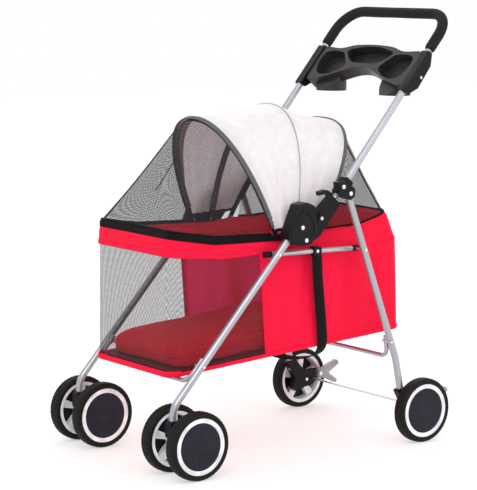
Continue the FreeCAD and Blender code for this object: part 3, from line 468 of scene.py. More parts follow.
def bead(centre, along, side, rise, length, width, height):
    """A small rounded block, such as a stitch or a zip tooth."""
    points = []
    shape = [(-0.5, 0.35), (-0.3, 1.0), (0.3, 1.0), (0.5, 0.35)]
    sides = 6
    for share, fullness in shape:
        for k in range(sides):
            angle = math.tau * (k + 0.5) / sides
            across, lift = width / 2 * fullness * math.cos(angle), height / 2 * fullness * math.sin(angle)
            points.append(centre + along * (length * share) + side * across + rise * lift)
    return points, grid_faces(len(shape), sides, closed=True) + end_faces(len(shape), sides)


def spaced(path, step, closed=False):
    """(point, tangent) at even steps along a path."""
    points = [Vector(point) for point in path]
    if closed:
        points.append(points[0])
    result, carried = [], 0.0
    for here, there in zip(points, points[1:]):
        run = (there - here).length
        while carried < run:
            result.append((here.lerp(there, carried / run), (there - here).normalized()))
            carried += step
        carried -= run
    return result


def stitches(name, path, outward, key, body, step=0.006, length=0.0036, closed=False):
    """A row of stitches along a path: outward(point) is the cloth's outside direction."""
    parts = []
    for point, along in spaced(path, step, closed):
        side = outward(point).normalized()
        parts.append(bead(point, along, side, along.cross(side), length, 0.0008, 0.0009))
    return joined(name, parts, key, body)


def rounded(route, radius, steps=10):
    """A route's corners rounded by arcs."""
    route = [Vector(point) for point in route]
    path = [route[0]]
    for before, here, after in zip(route, route[1:], route[2:]):
        a, b = (before - here).normalized(), (after - here).normalized()
        half = a.angle(b) / 2
        centre = here + (a + b).normalized() * (radius / math.sin(half))
        start, end = here + a * (radius / math.tan(half)), here + b * (radius / math.tan(half))
        reach = (start - centre).length
        first, final = (start - centre).normalized(), (end - centre).normalized()
        path += [centre + first.slerp(final, k / steps) * reach for k in range(steps + 1)]
    return path + [route[-1]]

# ---------------------------------------------------------------- basket

HALF = 0.152
CORNER = 0.030
FRONT_Y = -0.355
RIM = [
    (-0.4, 0.517), (-0.355, 0.509), (-0.320, 0.503), (-0.240, 0.490), (-0.036, 0.486),
    (-0.014, 0.501), (0.074, 0.501), (0.171, 0.505), (0.262, 0.530), (0.4, 0.585),
]
BAND = [(-0.355, 0.470), (-0.319, 0.4665), (-0.217, 0.4575), (-0.1135, 0.461), (0.20, 0.462), (0.30, 0.467)]
WINDOW_TOP, WINDOW_LOW = (0.462, 0.361), (0.232, 0.388)


def through(line, value):
    return float(np.interp(value, [point[0] for point in line], [point[1] for point in line]))


def floor_under(y):
    return 0.209 + (y - FRONT_Y) * 49 / 655


def wall_ends(z):
    lean = 10 / 205 if z < 0.463 else 28 / 67
    return FRONT_Y, 0.290 - (z - 0.463) * lean


def stations():
    """Round the basket: (x, share along the side or end, offset, outward direction)."""
    ring = []
    side_steps, corner_steps, end_steps = 60, 9, 30
    flat = HALF - CORNER

    def turn(x_sign, end, k):
        angle = math.pi / 2 * k / corner_steps
        normal = Vector((x_sign * math.cos(angle), end * math.sin(angle), 0))
        return (x_sign * flat + CORNER * normal.x, max(end, 0), CORNER * normal.y, normal)

    for k in range(side_steps + 1):
        ring.append((HALF, k / side_steps, 0, Vector((1, 0, 0))))
    ring += [turn(1, 1, k) for k in range(1, corner_steps)]
    ring += [(lerp(flat, -flat, k / end_steps), 1, CORNER, Vector((0, 1, 0))) for k in range(end_steps + 1)]
    ring += [turn(-1, 1, k) for k in range(corner_steps - 1, 0, -1)]
    ring += [(-HALF, 1 - k / side_steps, 0, Vector((-1, 0, 0))) for k in range(side_steps + 1)]
    ring += [turn(-1, -1, k) for k in range(1, corner_steps)]
    ring += [(lerp(-flat, flat, k / end_steps), 0, -CORNER, Vector((0, -1, 0))) for k in range(end_steps + 1)]
    ring += [turn(1, -1, k) for k in range(corner_steps - 1, 0, -1)]
    return ring


RING = stations()
SIDE = 61
BACK = SIDE + 8 + 31 + 8
FRONT = BACK + SIDE
WINDOW_STEPS = 20


def side_share(share, z):
    """Where a station of the side stands: a third of them lie on the mesh window."""
    (z_top, top), (z_low, low) = WINDOW_TOP, WINDOW_LOW
    edge = lerp(low, top, min(max((z - z_low) / (z_top - z_low), 0), 1))
    return share * 3 * edge if share < 1 / 3 else edge + (share - 1 / 3) * 1.5 * (1 - edge)


def station_y(station, z):
    _, share, offset, _ = station
    front, back = wall_ends(z)
    along = side_share(share, z) if offset == 0 else share
    return lerp(front + CORNER, back - CORNER, along) + offset


def shell_point(station, z_of, out=0.0):
    """A point of the basket wall: z_of(y) is its height, out its distance outwards."""
    z = 0.35
    for _ in range(4):
        y = station_y(station, z)
        z = z_of(y)
    return Vector((station[0], y, z)) + station[3] * out


# Upright folds of the slack cloth: (place along the wall, half width, depth inwards).
SIDE_FOLDS = [(0.128, 0.011, 0.0105), (0.165, 0.020, -0.0045), (0.008, 0.012, 0.008),
              (0.208, 0.013, 0.008), (-0.045, 0.018, 0.005), (0.085, 0.018, -0.004)]
BACK_FOLDS = [(-0.07, 0.014, 0.004), (0.02, 0.018, 0.003), (0.085, 0.012, 0.004)]


def wall_folds(station, y, z):
    """How far the slack side cloth stands out, in metres."""
    height = min(max((z - floor_under(y)) / 0.22, 0), 1)
    loose = math.sin(math.pi * min(height, 1)) ** 0.7
    amount = 0.0016 * ripple((station[0] * 2, y, z * 0.35), 9, 3)
    if abs(station[3].x) > 0.9:
        for centre, width, depth in SIDE_FOLDS:
            bend = centre + (z - 0.36) * 0.06
            amount -= depth * bell(y, bend, width) * (0.25 + 0.75 * height)
    elif station[3].y > 0.9:
        for centre, width, depth in BACK_FOLDS:
            amount -= depth * bell(station[0], centre, width) * (0.3 + 0.7 * height)
    return amount * (0.35 + 0.65 * loose)


def wall_rows(columns, low, high, steps, out=0.0, folds=1.0):
    rows = []
    for i in range(steps + 1):
        row = []
        for column in columns:
            station = RING[column % len(RING)]
            point = shell_point(station, lambda y: lerp(low(y), high(y), i / steps))
            row.append(point + station[3] * (out + folds * wall_folds(station, point.y, point.z)))
        rows.append(row)
    return rows


def band_low(y):
    return through(BAND, y)


def panel_top(y):
    return band_low(y) + 0.005


def panel_low(y):
    return floor_under(y) + 0.002


solid_columns = list(range(WINDOW_STEPS, BACK + SIDE - WINDOW_STEPS))
window_columns = list(range(FRONT - WINDOW_STEPS - 1, len(RING) + WINDOW_STEPS + 1))
wall_grid = wall_rows(solid_columns, panel_low, panel_top, 30)
walls = cloth("basket_walls", wall_grid, "red_fabric", "front_frame", stands_for=("basket_shell",))
window_rows = wall_rows(window_columns, panel_low, panel_top, 16, -0.0012, 0.4)
window = cloth("basket_window", window_rows, "window_net", "front_frame", thickness=0)

# Top band: outside, over the rim wire and down the inside.
band_rows = []
HEM_INSET = 0.0145
profile = [("low", 0.0, 0.0015), ("low", 0.003, 0.0028), ("low", 0.010, 0.0022)]
profile += [("mid", share, 0.0016 - 0.001 * share) for share in (0.25, 0.5, 0.75)]
profile += [("top", -0.004, 0.0), ("top", -0.0012, -0.0012), ("top", 0.0, -0.004), ("top", -0.0002, -0.0085),
            ("top", -0.003, -0.0125), ("top", -0.009, -HEM_INSET), ("top", -0.018, -HEM_INSET - 0.0004),
            ("low", 0.012, -HEM_INSET), ("low", 0.008, -0.0135)]
for kind, amount, out in profile:
    row = []
    for station in RING:
        if kind == "low":
            point = shell_point(station, lambda y: band_low(y) + amount)
        elif kind == "top":
            point = shell_point(station, lambda y: through(RIM, y) + amount)
        else:
            point = shell_point(station, lambda y: lerp(band_low(y), through(RIM, y), amount))
        pucker = 0.0009 * ripple((point.x, point.y, point.z * 0.4), 60, 7) + 0.0014 * ripple(point, 14, 2)
        row.append(point + station[3] * (out + pucker + 0.4 * wall_folds(station, point.y, point.z)))
    band_rows.append(row)
band = cloth("basket_band", band_rows, "red_fabric", "front_frame", closed=True)

# Hem round the floor, and the floor sheet.
HEM_PROFILE = [(0.012, 0.0012), (0.010, 0.0024), (0.004, 0.0026),
               (0.0, 0.0014), (-0.0012, -0.002), (-0.001, -0.012)]
hem_rows = []
for lift, out in HEM_PROFILE:
    row = []
    for station in RING:
        front_share = 1.0 if station[1] == 0 and station[2] else 0.7
        point = shell_point(station, lambda y: floor_under(y) + lift * front_share)
        row.append(point + station[3] * (out + 0.0008 * ripple(point, 40, 5)))
    hem_rows.append(row)
hem = cloth("basket_hem", hem_rows, "red_fabric", "front_frame", closed=True)
floor_rows = []
front, back = wall_ends(0.23)[0] + 0.002, wall_ends(0.25)[1] - 0.002
for i in range(41):
    y = lerp(front, back, i / 40)
    inset = max(0.0, front + CORNER - y, y - back + CORNER)
    half_width = HALF - 0.003 - CORNER + math.sqrt(max(CORNER ** 2 - inset ** 2, 0))
    row = []
    for j in range(21):
        x = lerp(-half_width, half_width, j / 20)
        sag = 0.0015 * math.cos(x / HALF * math.pi / 2) * math.sin(math.pi * i / 40)
        row.append(Vector((x, y, floor_under(y) + 0.0006 - sag)))
    floor_rows.append(row)
floor_sheet = cloth("basket_floor", floor_rows, "red_fabric", "front_frame")

# Stitch rows on the band and the hem.


def ring_line(z_of, out, columns=None):
    result = []
    for column in (columns or range(len(RING))):
        station = RING[column % len(RING)]
        point = shell_point(station, z_of)
        result.append(point + station[3] * (out + 0.4 * wall_folds(station, point.y, point.z)))
    return result


def outward(point):
    """Roughly outwards from the basket's middle line."""
    if abs(point.x) > HALF - 0.004:
        return Vector((point.x, 0, 0))
    y = min(max(point.y, FRONT_Y + CORNER), 0.25)
    past_corner = max(abs(point.x) - (HALF - CORNER), 0)
    flat = Vector((math.copysign(past_corner, point.x), point.y - y, 0))
    return flat if flat.length > 1e-6 else Vector((0, math.copysign(1, point.y), 0))


band_line = ring_line(lambda y: band_low(y) + 0.0045, 0.0032)
hem_line = ring_line(lambda y: floor_under(y) + 0.0075, 0.0028)
stitches("band_stitches", band_line, outward, "red_fabric", "front_frame", closed=True)
stitches("hem_stitches", hem_line, outward, "red_fabric", "front_frame", closed=True)

# Binding down each window's back edge.
for side, column in (("left", WINDOW_STEPS), ("right", BACK + SIDE - WINDOW_STEPS - 1)):
    station, rows = RING[column], []
    for along, thick in ((-0.006, 0.0010), (-0.003, 0.0016), (0.003, 0.0016), (0.006, 0.0010)):
        row = []
        for i in range(25):
            point = shell_point(station, lambda y: lerp(panel_low(y), panel_top(y), i / 24))
            out = thick + wall_folds(station, point.y, point.z)
            row.append(point + Vector((0, along, 0)) + station[3] * out)
        rows.append(row)
    binding = cloth(f"window_binding_{side}", rows, "red_fabric", "front_frame", 0.001)

# Rolled binding on the back half of the rim.
roll = [column for column in range(len(RING)) if 0.0 <= station_y(RING[column], 0.5)]
roll_path = ring_line(lambda y: through(RIM, y) + 0.0004, -0.0045, roll)
sweep("rim_roll", roll_path, disc_section(0.0026, 10), "red_fabric", "front_frame")

# ---------------------------------------------------------------- zip

ZIP_BACK = -0.028
STRAIGHT = 24


def rim_loop(half_width, front_y, back_y, corner_radius, lift, arc=10, across=24):
    """A U round the front of the rim, from the left side to the right, lifted above it."""
    flat = half_width - corner_radius
    plan = [(half_width, lerp(back_y, front_y + corner_radius, k / STRAIGHT)) for k in range(STRAIGHT + 1)]
    for k in range(1, arc):
        angle = math.pi / 2 * k / arc
        back_of_front = corner_radius * (1 - math.sin(angle))
        plan.append((flat + corner_radius * math.cos(angle), front_y + back_of_front))
    plan += [(flat * (1 - k / across), front_y) for k in range(across + 1)]
    plan += [(-x, y) for x, y in plan[-2::-1]]
    return [Vector((x, y, through(RIM, min(y, -0.04)) + lift)) for x, y in plan]


def wavy(path, amount, scale, seed):
    return [point + Vector((0, 0, amount * ripple(point, scale, seed))) for point in path]


zip_line = wavy(rim_loop(HALF - 0.0030, FRONT_Y + 0.0030, ZIP_BACK, CORNER - 0.003, 0.0074), 0.0012, 12, 1)
# The tape across: (outwards, up), with a groove where the teeth lie.
zip_section = [(0.0024, -0.0070), (0.0032, -0.0050), (0.0030, -0.0016), (0.0021, -0.0008),
               (0.0021, 0.0008), (0.0030, 0.0016), (0.0030, 0.0052), (0.0014, 0.0070),
               (-0.0012, 0.0070), (-0.0026, 0.0050), (-0.0028, -0.0050), (-0.0020, -0.0070)]
sweep("zip_tape", zip_line, zip_section, "zip_tape", "front_frame", stands_for=("rim_zipper",))
FACING_IN = 0.0072
facing_rows = [rim_loop(HALF - FACING_IN, FRONT_Y + FACING_IN, ZIP_BACK, CORNER - FACING_IN, lift)
               for lift in (-0.006, 0.0, 0.006, 0.0115)]
facing = cloth("zip_facing", facing_rows, "red_fabric", "front_frame", thickness=0.0008)
teeth = []
for point, along in spaced(zip_line, 0.0021):
    side = along.cross(Vector((0, 0, 1))).normalized()
    teeth.append(bead(point + side * 0.0026, along, side, Vector((0, 0, 1)), 0.0014, 0.0016, 0.0030))
joined("zip_teeth", teeth, "black_plastic", "front_frame")
slider_at = zip_line[len(zip_line) - STRAIGHT - 2]
slider = [(-0.5, 0.6), (-0.42, 1.0), (0.1, 1.0), (0.5, 0.5)]
SLIDER_LENGTH, SLIDER_HALF_WIDTH, SLIDER_HALF_HEIGHT = 0.011, 0.0042, 0.0050
points = []
for share, fullness in slider:
    for a, b in ((1, 1), (1, -1), (-1, -1), (-1, 1)):
        across, lift = a * SLIDER_HALF_WIDTH * fullness, b * SLIDER_HALF_HEIGHT * fullness
        points.append(slider_at + Vector((share * SLIDER_LENGTH, across, lift)))
faces = grid_faces(len(slider), 4, closed=True) + end_faces(len(slider), 4)
rounder(piece("zip_slider", points, faces, "steel_pins", "front_frame"), 0.0012, 3)
PULL_ROUTE = [(0.004, -0.006, 0.001), (0.006, -0.009, -0.006), (0.006, -0.0095, -0.020)]
tab = [slider_at + Vector(place) for place in PULL_ROUTE]
sweep("zip_pull", tab, band_section(0.006, 0.0016), "black_plastic", "front_frame", up=(1, 0, 0))

# ---------------------------------------------------------------- cushion

CUSHION_HALF, CUSHION_FRONT, CUSHION_BACK, CUSHION_CORNER = 0.140, -0.334, 0.279, 0.030
CUSHION_LOW, CUSHION_HIGH = 0.0105, 0.050
QUILT_LINES, SEAM_HEIGHT = (-0.116, 0.074), 0.036


def cushion_outline(shrink):
    """Plan of the pad, from above: its long sides draw in a little between the corners."""
    half_width, front_y, back_y = CUSHION_HALF - shrink, CUSHION_FRONT + shrink, CUSHION_BACK - shrink
    radius = CUSHION_CORNER - shrink * 0.5
    plan = []
    for x_sign, y_end, start in ((1, back_y, 0), (-1, back_y, 90), (-1, front_y, 180), (1, front_y, 270)):
        centre = Vector((x_sign * (half_width - radius), y_end - math.copysign(radius, y_end), 0))
        for k in range(9):
            angle = math.radians(start + 90 * k / 8)
            plan.append(centre + Vector((radius * math.cos(angle), radius * math.sin(angle), 0)))
    result = []
    for here, there in zip(plan, plan[1:] + plan[:1]):
        count = max(1, int((there - here).length / 0.012))
        for k in range(count):
            point = here.lerp(there, k / count)
            draw = 0.004 * math.sin(math.pi * min(max((point.y - front_y) / (back_y - front_y), 0), 1))
            if abs(point.x) > half_width - 0.002:
                point.x -= math.copysign(draw, point.x)
            result.append(point)
    return result


def pad_mesh():
    """The pad's slack cover before it is filled: rings from the seam to the middle."""
    outline = cushion_outline(0)
    count = len(outline)
    middle = Vector((0, (CUSHION_FRONT + CUSHION_BACK) / 2, 0))
    rings = []
    for shrink, height in ((0.004, 0.0), (0.0, 0.25), (0.0, 0.75), (0.004, 1.0)):
        rings.append([(point + (middle - point).normalized() * shrink, height) for point in outline])
    for share in (0.88, 0.7, 0.5, 0.3, 0.12):
        ring = [middle + (point - middle) * share for point in outline]
        rings.append([(point, 1.0) for point in ring])
        rings.insert(0, [(point, 0.0) for point in ring])
    points = []
    for ring in rings:
        for point, height in ring:
            lift = lerp(CUSHION_LOW, CUSHION_HIGH, height)
            points.append(Vector((point.x, point.y, floor_under(point.y) + lift)))
    return points, grid_faces(len(rings), count, closed=True) + end_faces(len(rings), count)


points, faces = pad_mesh()
cushion = piece("floor_pad", points, faces, "cushion_fabric")
bpy.context.view_layer.objects.active = cushion


def apply_all(item):
    """Bakes an object's modifiers into its mesh, which is shaded smooth."""
    bpy.context.view_layer.update()
    evaluated = item.evaluated_get(bpy.context.evaluated_depsgraph_get())
    mesh = bpy.data.meshes.new_from_object(evaluated)
    item.modifiers.clear()
    item.data = mesh
    mesh.polygons.foreach_set("use_smooth", [True] * len(mesh.polygons))


remesh = cushion.modifiers.new("voxels", "REMESH")
remesh.mode = "VOXEL"
remesh.voxel_size = 0.0065
apply_all(cushion)
rest = np.array([tuple(vertex.co) for vertex in cushion.data.vertices])


def crown(point):
    """How far the pad's filling lifts its top: 1 in the middle, 0 at its edges."""
    along = (point[1] - CUSHION_FRONT) / (CUSHION_BACK - CUSHION_FRONT)
    lengthways = max(math.sin(math.pi * min(max(along, 0), 1)), 0)
    return math.sqrt(max(1 - (point[0] / 0.142) ** 2, 0)) * math.sqrt(lengthways)


cover = cushion.modifiers.new("cover", "CLOTH")
cover.settings.quality = 6
cover.settings.mass = 0.25
cover.settings.tension_stiffness = 12
cover.settings.compression_stiffness = 12
cover.settings.bending_stiffness = 0.6
cover.settings.use_pressure = True
cover.settings.uniform_pressure_force = 4
cover.settings.effector_weights.gravity = 0
cover.collision_settings.use_collision = False
for frame_number in range(1, 21):
    scene.frame_set(frame_number)
apply_all(cushion)
scene.frame_set(1)
moved = np.array([tuple(vertex.co) for vertex in cushion.data.vertices])
CAP, PAD_REACH = 0.012, 0.1465
for vertex, start, end in zip(cushion.data.vertices, rest, moved):
    shift = Vector(end - start)
    if shift.length > CAP:
        shift.length = CAP
    point = Vector(start) + shift
    floor_z = floor_under(point.y) + 0.0095
    top = (start[2] - floor_under(start[1]) - CUSHION_LOW) / (CUSHION_HIGH - CUSHION_LOW)
    if top > 0.3:
        dome = crown(start)
        point.z += (0.010 * dome - 0.004 * (1 - dome)) * min(top, 1)
        for channel in QUILT_LINES:
            point.z -= 0.0035 * bell(point.y, channel, 0.006) * min(1.0, dome * 2)
        point.z += 0.0016 * ripple(point, 11, 4) + 0.0006 * ripple(point, 38, 9)
    point.z = max(point.z, floor_z)
    point.x = min(max(point.x, -PAD_REACH), PAD_REACH)
    point.y = min(max(point.y, FRONT_Y + 0.005), 0.290)
    vertex.co = point
smoother = cushion.modifiers.new("round", "SUBSURF")
smoother.levels = smoother.render_levels = 1
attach(cushion, "front_frame")
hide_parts("floor_cushion")
# Piping on the seam round the pad, where the filled side stands out furthest.
sides = [vertex.co.copy() for vertex in cushion.data.vertices
         if abs(vertex.co.z - floor_under(vertex.co.y) - SEAM_HEIGHT) < 0.006]
seam = []
for point in cushion_outline(0):
    centre = Vector((0, min(max(point.y, CUSHION_FRONT + 0.1), CUSHION_BACK - 0.1)))
    aim = Vector((point.x, point.y)) - centre
    aim.normalize()
    near = [(Vector((side.x, side.y)) - centre).dot(aim) for side in sides
            if (Vector((side.x, side.y)) - Vector((point.x, point.y))).length < 0.018]
    reach = max(near) if near else (Vector((point.x, point.y)) - centre).length
    seam.append(centre + aim * reach)
for _ in range(3):
    seam = [(seam[k - 1] + seam[k] * 2 + seam[(k + 1) % len(seam)]) / 4 for k in range(len(seam))]
piping = [Vector((point.x, point.y, floor_under(point.y) + SEAM_HEIGHT)) for point in seam]
sweep("pad_piping", piping, disc_section(0.0020, 8), "cushion_fabric", "front_frame", closed=True)

# ---------------------------------------------------------------- canopy

FOOT_Z = 0.503
# Each bow: where its feet stand, its angle from the back horizontal, and the height,
# half width and fullness of its arch.
BOWS = {
    "back": (0.030, 59.4, 0.275, 0.158, 2.7),
    "middle": (-0.030, 80.0, 0.277, 0.155, 2.3),
    "front": (-0.080, 113.0, 0.271, 0.158, 2.2),
}
FOOT_TURN = 0.025


def arch(foot, angle, height, half_width, fullness, turn):
    """A point on a bow: turn runs from 0 at the left foot to pi at the right foot."""
    power = 2 / fullness
    x = half_width * math.copysign(abs(math.cos(turn)) ** power, math.cos(turn))
    rise = height * math.sin(turn) ** power
    slope = math.radians(angle)
    return Vector((x, foot + rise * math.cos(slope), FOOT_Z + rise * math.sin(slope)))


def even_turns(count, foot, fullness):
    """Turns that give points about evenly spaced along an arch."""
    fine = [lerp(foot, math.pi - foot, k / 400) for k in range(401)]
    points = [arch(0, 90, 0.28, 0.16, fullness, turn) for turn in fine]
    lengths = np.concatenate([[0], np.cumsum([(b - a).length for a, b in zip(points, points[1:])])])
    return [float(np.interp(lengths[-1] * k / count, lengths, fine)) for k in range(count + 1)]


def between_bows(share):
    """The shape of the cover from the back bow, 0, to the front bow, 1, and its share of that panel."""
    low, high = ("back", "middle") if share < 0.5 else ("middle", "front")
    part = share * 2 if share < 0.5 else share * 2 - 1
    return [lerp(a, b, part) for a, b in zip(BOWS[low], BOWS[high])], part


def cover_point(share, turn, above=0.0035):
    (foot, angle, height, _, fullness), part = between_bows(share)
    gap = math.sin(math.pi * min(max(part, 0), 1))
    upright = math.sin(turn)
    sag = (0.011 * gap ** 0.8) * upright ** 1.5
    point = arch(foot, angle, height + above - sag, 0.1640 - 0.002 * gap * upright, fullness, turn)
    # Drag lines run from the feet up towards the bows, strongest low on the sides.
    side = 1 - upright
    wrinkle = 0.0026 * math.sin(share * 33 + 3 * math.sin(turn * 2)) * side * gap
    wrinkle += 0.0016 * math.sin(share * 70 + 2.2 * turn) * bell(upright, 0.45, 0.25) * gap
    normal = (point - Vector((0, foot, FOOT_Z))).normalized()
    cloud = 0.0020 * ripple(point, 13, 6) * min(1, gap * 2)
    return point + normal * (wrinkle + cloud)


SHARES = np.concatenate([np.linspace(-0.015, 0.5, 19), np.linspace(0.5, 1.012, 20)[1:]])
turns = even_turns(64, FOOT_TURN, 2.5)
cover_rows = [[cover_point(share, turn) for turn in turns] for share in SHARES]
cover = cloth("canopy_cloth", cover_rows, "canopy_fabric", stands_for=("canopy_cover",))
FAN = {"start": tuple(arch(*BOWS["front"], math.pi / 2)), "end": tuple(arch(*BOWS["back"], math.pi / 2))}
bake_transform(cover)


def bow_path(name, above, foot_turn=0.06, count=56, shift=0.0):
    """A line along a bow, lifted off it, and turned about its feet by an angle."""
    foot, angle, height, half_width, fullness = BOWS[name]
    turned = even_turns(count, foot_turn, fullness)
    return [arch(foot, angle + shift, height + above, half_width + above, fullness, turn) for turn in turned]


def bow_up(name):
    """The direction across a bow's strip, square to its plane."""
    slope = math.radians(BOWS[name][1])
    return (0, -math.sin(slope), math.cos(slope))



def bow_strip(name, bow, path, width, depth, key, body=None):
    """A flat strip of tape that runs along a bow."""
    return sweep(name, path, band_section(width, depth), key, body, up=bow_up(bow))


# Tape on each bow: (where, above the bow, start of its foot, shift in degrees, width, depth, material, body).
BOW_TAPES = [
    ("front", "binding", 0.0050, 0.05, 0.8, 0.0115, 0.0034, "bow_tape", "canopy_front"),
    ("front", "sleeve", -0.0032, 0.10, 0.0, 0.0130, 0.0024, "bow_tape", "canopy_front"),
    ("back", "sleeve", -0.0034, 0.10, 0.0, 0.0140, 0.0024, "zip_tape", "front_frame"),
    ("back", "binding", 0.0056, 0.09, -0.8, 0.0100, 0.0030, "bow_tape", "front_frame"),
]
for bow, kind, above, foot_turn, shift, width, depth, key, body in BOW_TAPES:
    path = bow_path(bow, above, foot_turn, shift=shift)
    bow_strip(f"{bow}_bow_{kind}", bow, path, width, depth, key, body)

# The middle bow's sleeve and seam ride on no body, like the cloth.
sleeve = bow_strip("middle_bow_sleeve", "middle", bow_path("middle", -0.0020, 0.05), 0.016, 0.0036, "bow_tape")
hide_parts("canopy_bow_middle")
middle_line = [cover_point(0.5, turn, 0.0042) for turn in turns[1:-1]]
middle_seam = sweep("middle_seam", middle_line, disc_section(0.0013, 8), "seam_thread", up=bow_up("middle"))
middle_foot = Vector((0, BOWS["middle"][0], FOOT_Z))
middle_pieces = [sleeve, middle_seam]
for spot, shift in (("a", -0.02), ("b", 0.02)):
    path = [cover_point(0.5 + shift, turn, 0.0042) for turn in turns[2:-2]]
    seam = stitches(f"middle_seam_{spot}", path, lambda point: point - middle_foot, "canopy_fabric", None)
    middle_pieces.append(seam)
# A strip of painted shade just inside the cover behind the front bow, on the canopy's inner side.
shade_strip_rows = [[cover_point(share, turn, -0.0010) for turn in turns[1:-1]]
               for share in (0.925, 0.95, 0.975, 0.995)]
painted_shade_strip = cloth("front_painted_shade_strip", shade_strip_rows, "painted_shade_strip", thickness=0.0006)
edge_hems = []
for side, turn in (("left", turns[0] + 0.004), ("right", turns[-1] - 0.004)):
    edge = [cover_point(share, turn, 0.0020) for share in SHARES]
    edge_hems.append(sweep(f"canopy_edge_{side}", edge, band_section(0.0070, 0.0020), "zip_tape"))
for item in middle_pieces + edge_hems + [painted_shade_strip]:
    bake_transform(item)

# Flat black feet, from the fabric's lower edge down to the rim.
for name, body in (("back", "front_frame"), ("middle", "canopy_middle"), ("front", "canopy_front")):
    foot, angle, _, half_width, _ = BOWS[name]
    slope = math.radians(angle)
    for side, sign in SIDES:
        path = []
        for rise in (-0.010, -0.004, 0.0, 0.010, 0.024, 0.042, 0.060):
            x = half_width + 0.0012 - 0.010 * max(rise, 0)
            path.append((sign * x, foot + rise * math.cos(slope), FOOT_Z + rise * math.sin(slope)))
        bow_strip(f"bow_foot_{name}_{side}", name, path, 0.0125, 0.0020, "webbing", body)

# Mesh panels: the visor from the front bow to the rim, and one from the back bow.


def netting_rows(top, low, rows, sag):
    grid = []
    for i in range(rows + 1):
        share = i / rows
        row = []
        for a, b in zip(top, low):
            point = a.lerp(b, share)
            pull = sag * math.sin(math.pi * share)
            slack = 0.0012 * ripple(point, 16, 8)
            row.append(point + Vector((-point.x * pull * 0.25, slack, slack - abs(pull) * 0.02)))
        grid.append(row)
    return grid


def resampled(path, count):
    points = np.array([tuple(point) for point in path])
    lengths = np.concatenate([[0], np.cumsum(np.linalg.norm(np.diff(points, axis=0), axis=1))])
    wanted = np.linspace(0, lengths[-1], count + 1)
    axes = [np.interp(wanted, lengths, points[:, axis]) for axis in range(3)]
    return [Vector(place) for place in zip(*axes)]


rim_top = rim_loop(HALF - 0.0035, FRONT_Y + 0.0035, BOWS["front"][0] - 0.004, CORNER - 0.003, 0.0152)
visor_top = bow_path("front", 0.0040, 0.10, shift=1.2)
visor_rows = netting_rows(resampled(visor_top, 60), resampled(rim_top, 60), 14, 0.10)
visor = cloth("front_visor", visor_rows, "mesh_fabric", "canopy_front", 0, stands_for=("front_mesh",))
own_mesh(visor)
hem_line = [a.lerp(b, 0.02) for a, b in zip(visor_rows[-1], visor_rows[-2])]
visor_hem = sweep("visor_hem", hem_line, band_section(0.009, 0.0022), "zip_tape", "canopy_front")
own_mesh(visor_hem)
dart = [row[48].lerp(row[46], 0.5 * i / len(visor_rows)) for i, row in enumerate(visor_rows[:8])]
corner_seam = [row[39] for row in visor_rows]
for spot, path, radius in (("dart", dart, 0.0011), ("seam", corner_seam, 0.0015)):
    seam = sweep(f"visor_{spot}", path, disc_section(radius, 6), "zip_tape", "canopy_front")
    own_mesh(seam)

back_rim = []
for station in [RING[column] for column in range(SIDE - 26, BACK + 26)]:
    point = shell_point(station, lambda y: through(RIM, y))
    if point.y > BOWS["back"][0] + 0.012:
        back_rim.append(point + Vector((0, 0, 0.002)) - station[3] * 0.005)
back_top = bow_path("back", 0.0040, 0.10, shift=-1.6)
back_rows = netting_rows(resampled(back_top, 60), resampled(back_rim, 60), 12, 0.06)
back_net = cloth("back_netting", back_rows, "mesh_fabric", "front_frame", 0, stands_for=("rear_mesh",))
back_hem = [a.lerp(b, 0.03) for a, b in zip(back_rows[-1], back_rows[-2])]
sweep("back_netting_hem", back_hem, band_section(0.010, 0.0026), "zip_tape", "front_frame")
for spot, column in (("left", 17), ("right", 43)):
    path = [row[column] for row in back_rows]
    sweep(f"back_seam_{spot}", path, disc_section(0.0017, 6), "zip_tape", "front_frame")

# ---------------------------------------------------------------- belly strap

STRAP_LEAN, STRAP_FOOT_Y = math.radians(8.3), 0.0923
HALF_STRAP = [
    (0.1735, 0.464), (0.172, 0.440), (0.168, 0.400), (0.165, 0.300), (0.163, 0.258),
    (0.155, 0.233), (0.125, 0.212), (0.060, 0.196), (0.0, 0.190),
]


def smooth_line(path, rounds=2):
    """Cuts the corners of an open path, keeping its ends."""
    for _ in range(rounds):
        cut = [path[0]]
        for here, there in zip(path, path[1:]):
            cut += [here.lerp(there, 0.25), here.lerp(there, 0.75)]
        path = cut + [path[-1]]
    return path


strap_plan = HALF_STRAP + [(-a, b) for a, b in HALF_STRAP[-2::-1]]
strap_up = Vector((0, math.cos(STRAP_LEAN), math.sin(STRAP_LEAN)))
strap_line = smooth_line([Vector((a, STRAP_FOOT_Y - b * strap_up.z, b * strap_up.y)) for a, b in strap_plan])
strap = sweep("belly_webbing", strap_line, band_section(0.028, 0.0018), "webbing", up=strap_up,
              stands_for=("belly_strap",))
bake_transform(strap)

# ---------------------------------------------------------------- handle grip

HANDLE_SLOPE = math.radians(50.35)


def on_handle(along, above=0.0):
    """A point (y, z) by the handle arm: along its axis, and above it square to the arms' plane."""
    y = 0.101 + along * math.cos(HANDLE_SLOPE) - above * math.sin(HANDLE_SLOPE)
    return (y, 0.620 + along * math.sin(HANDLE_SLOPE) + above * math.cos(HANDLE_SLOPE))


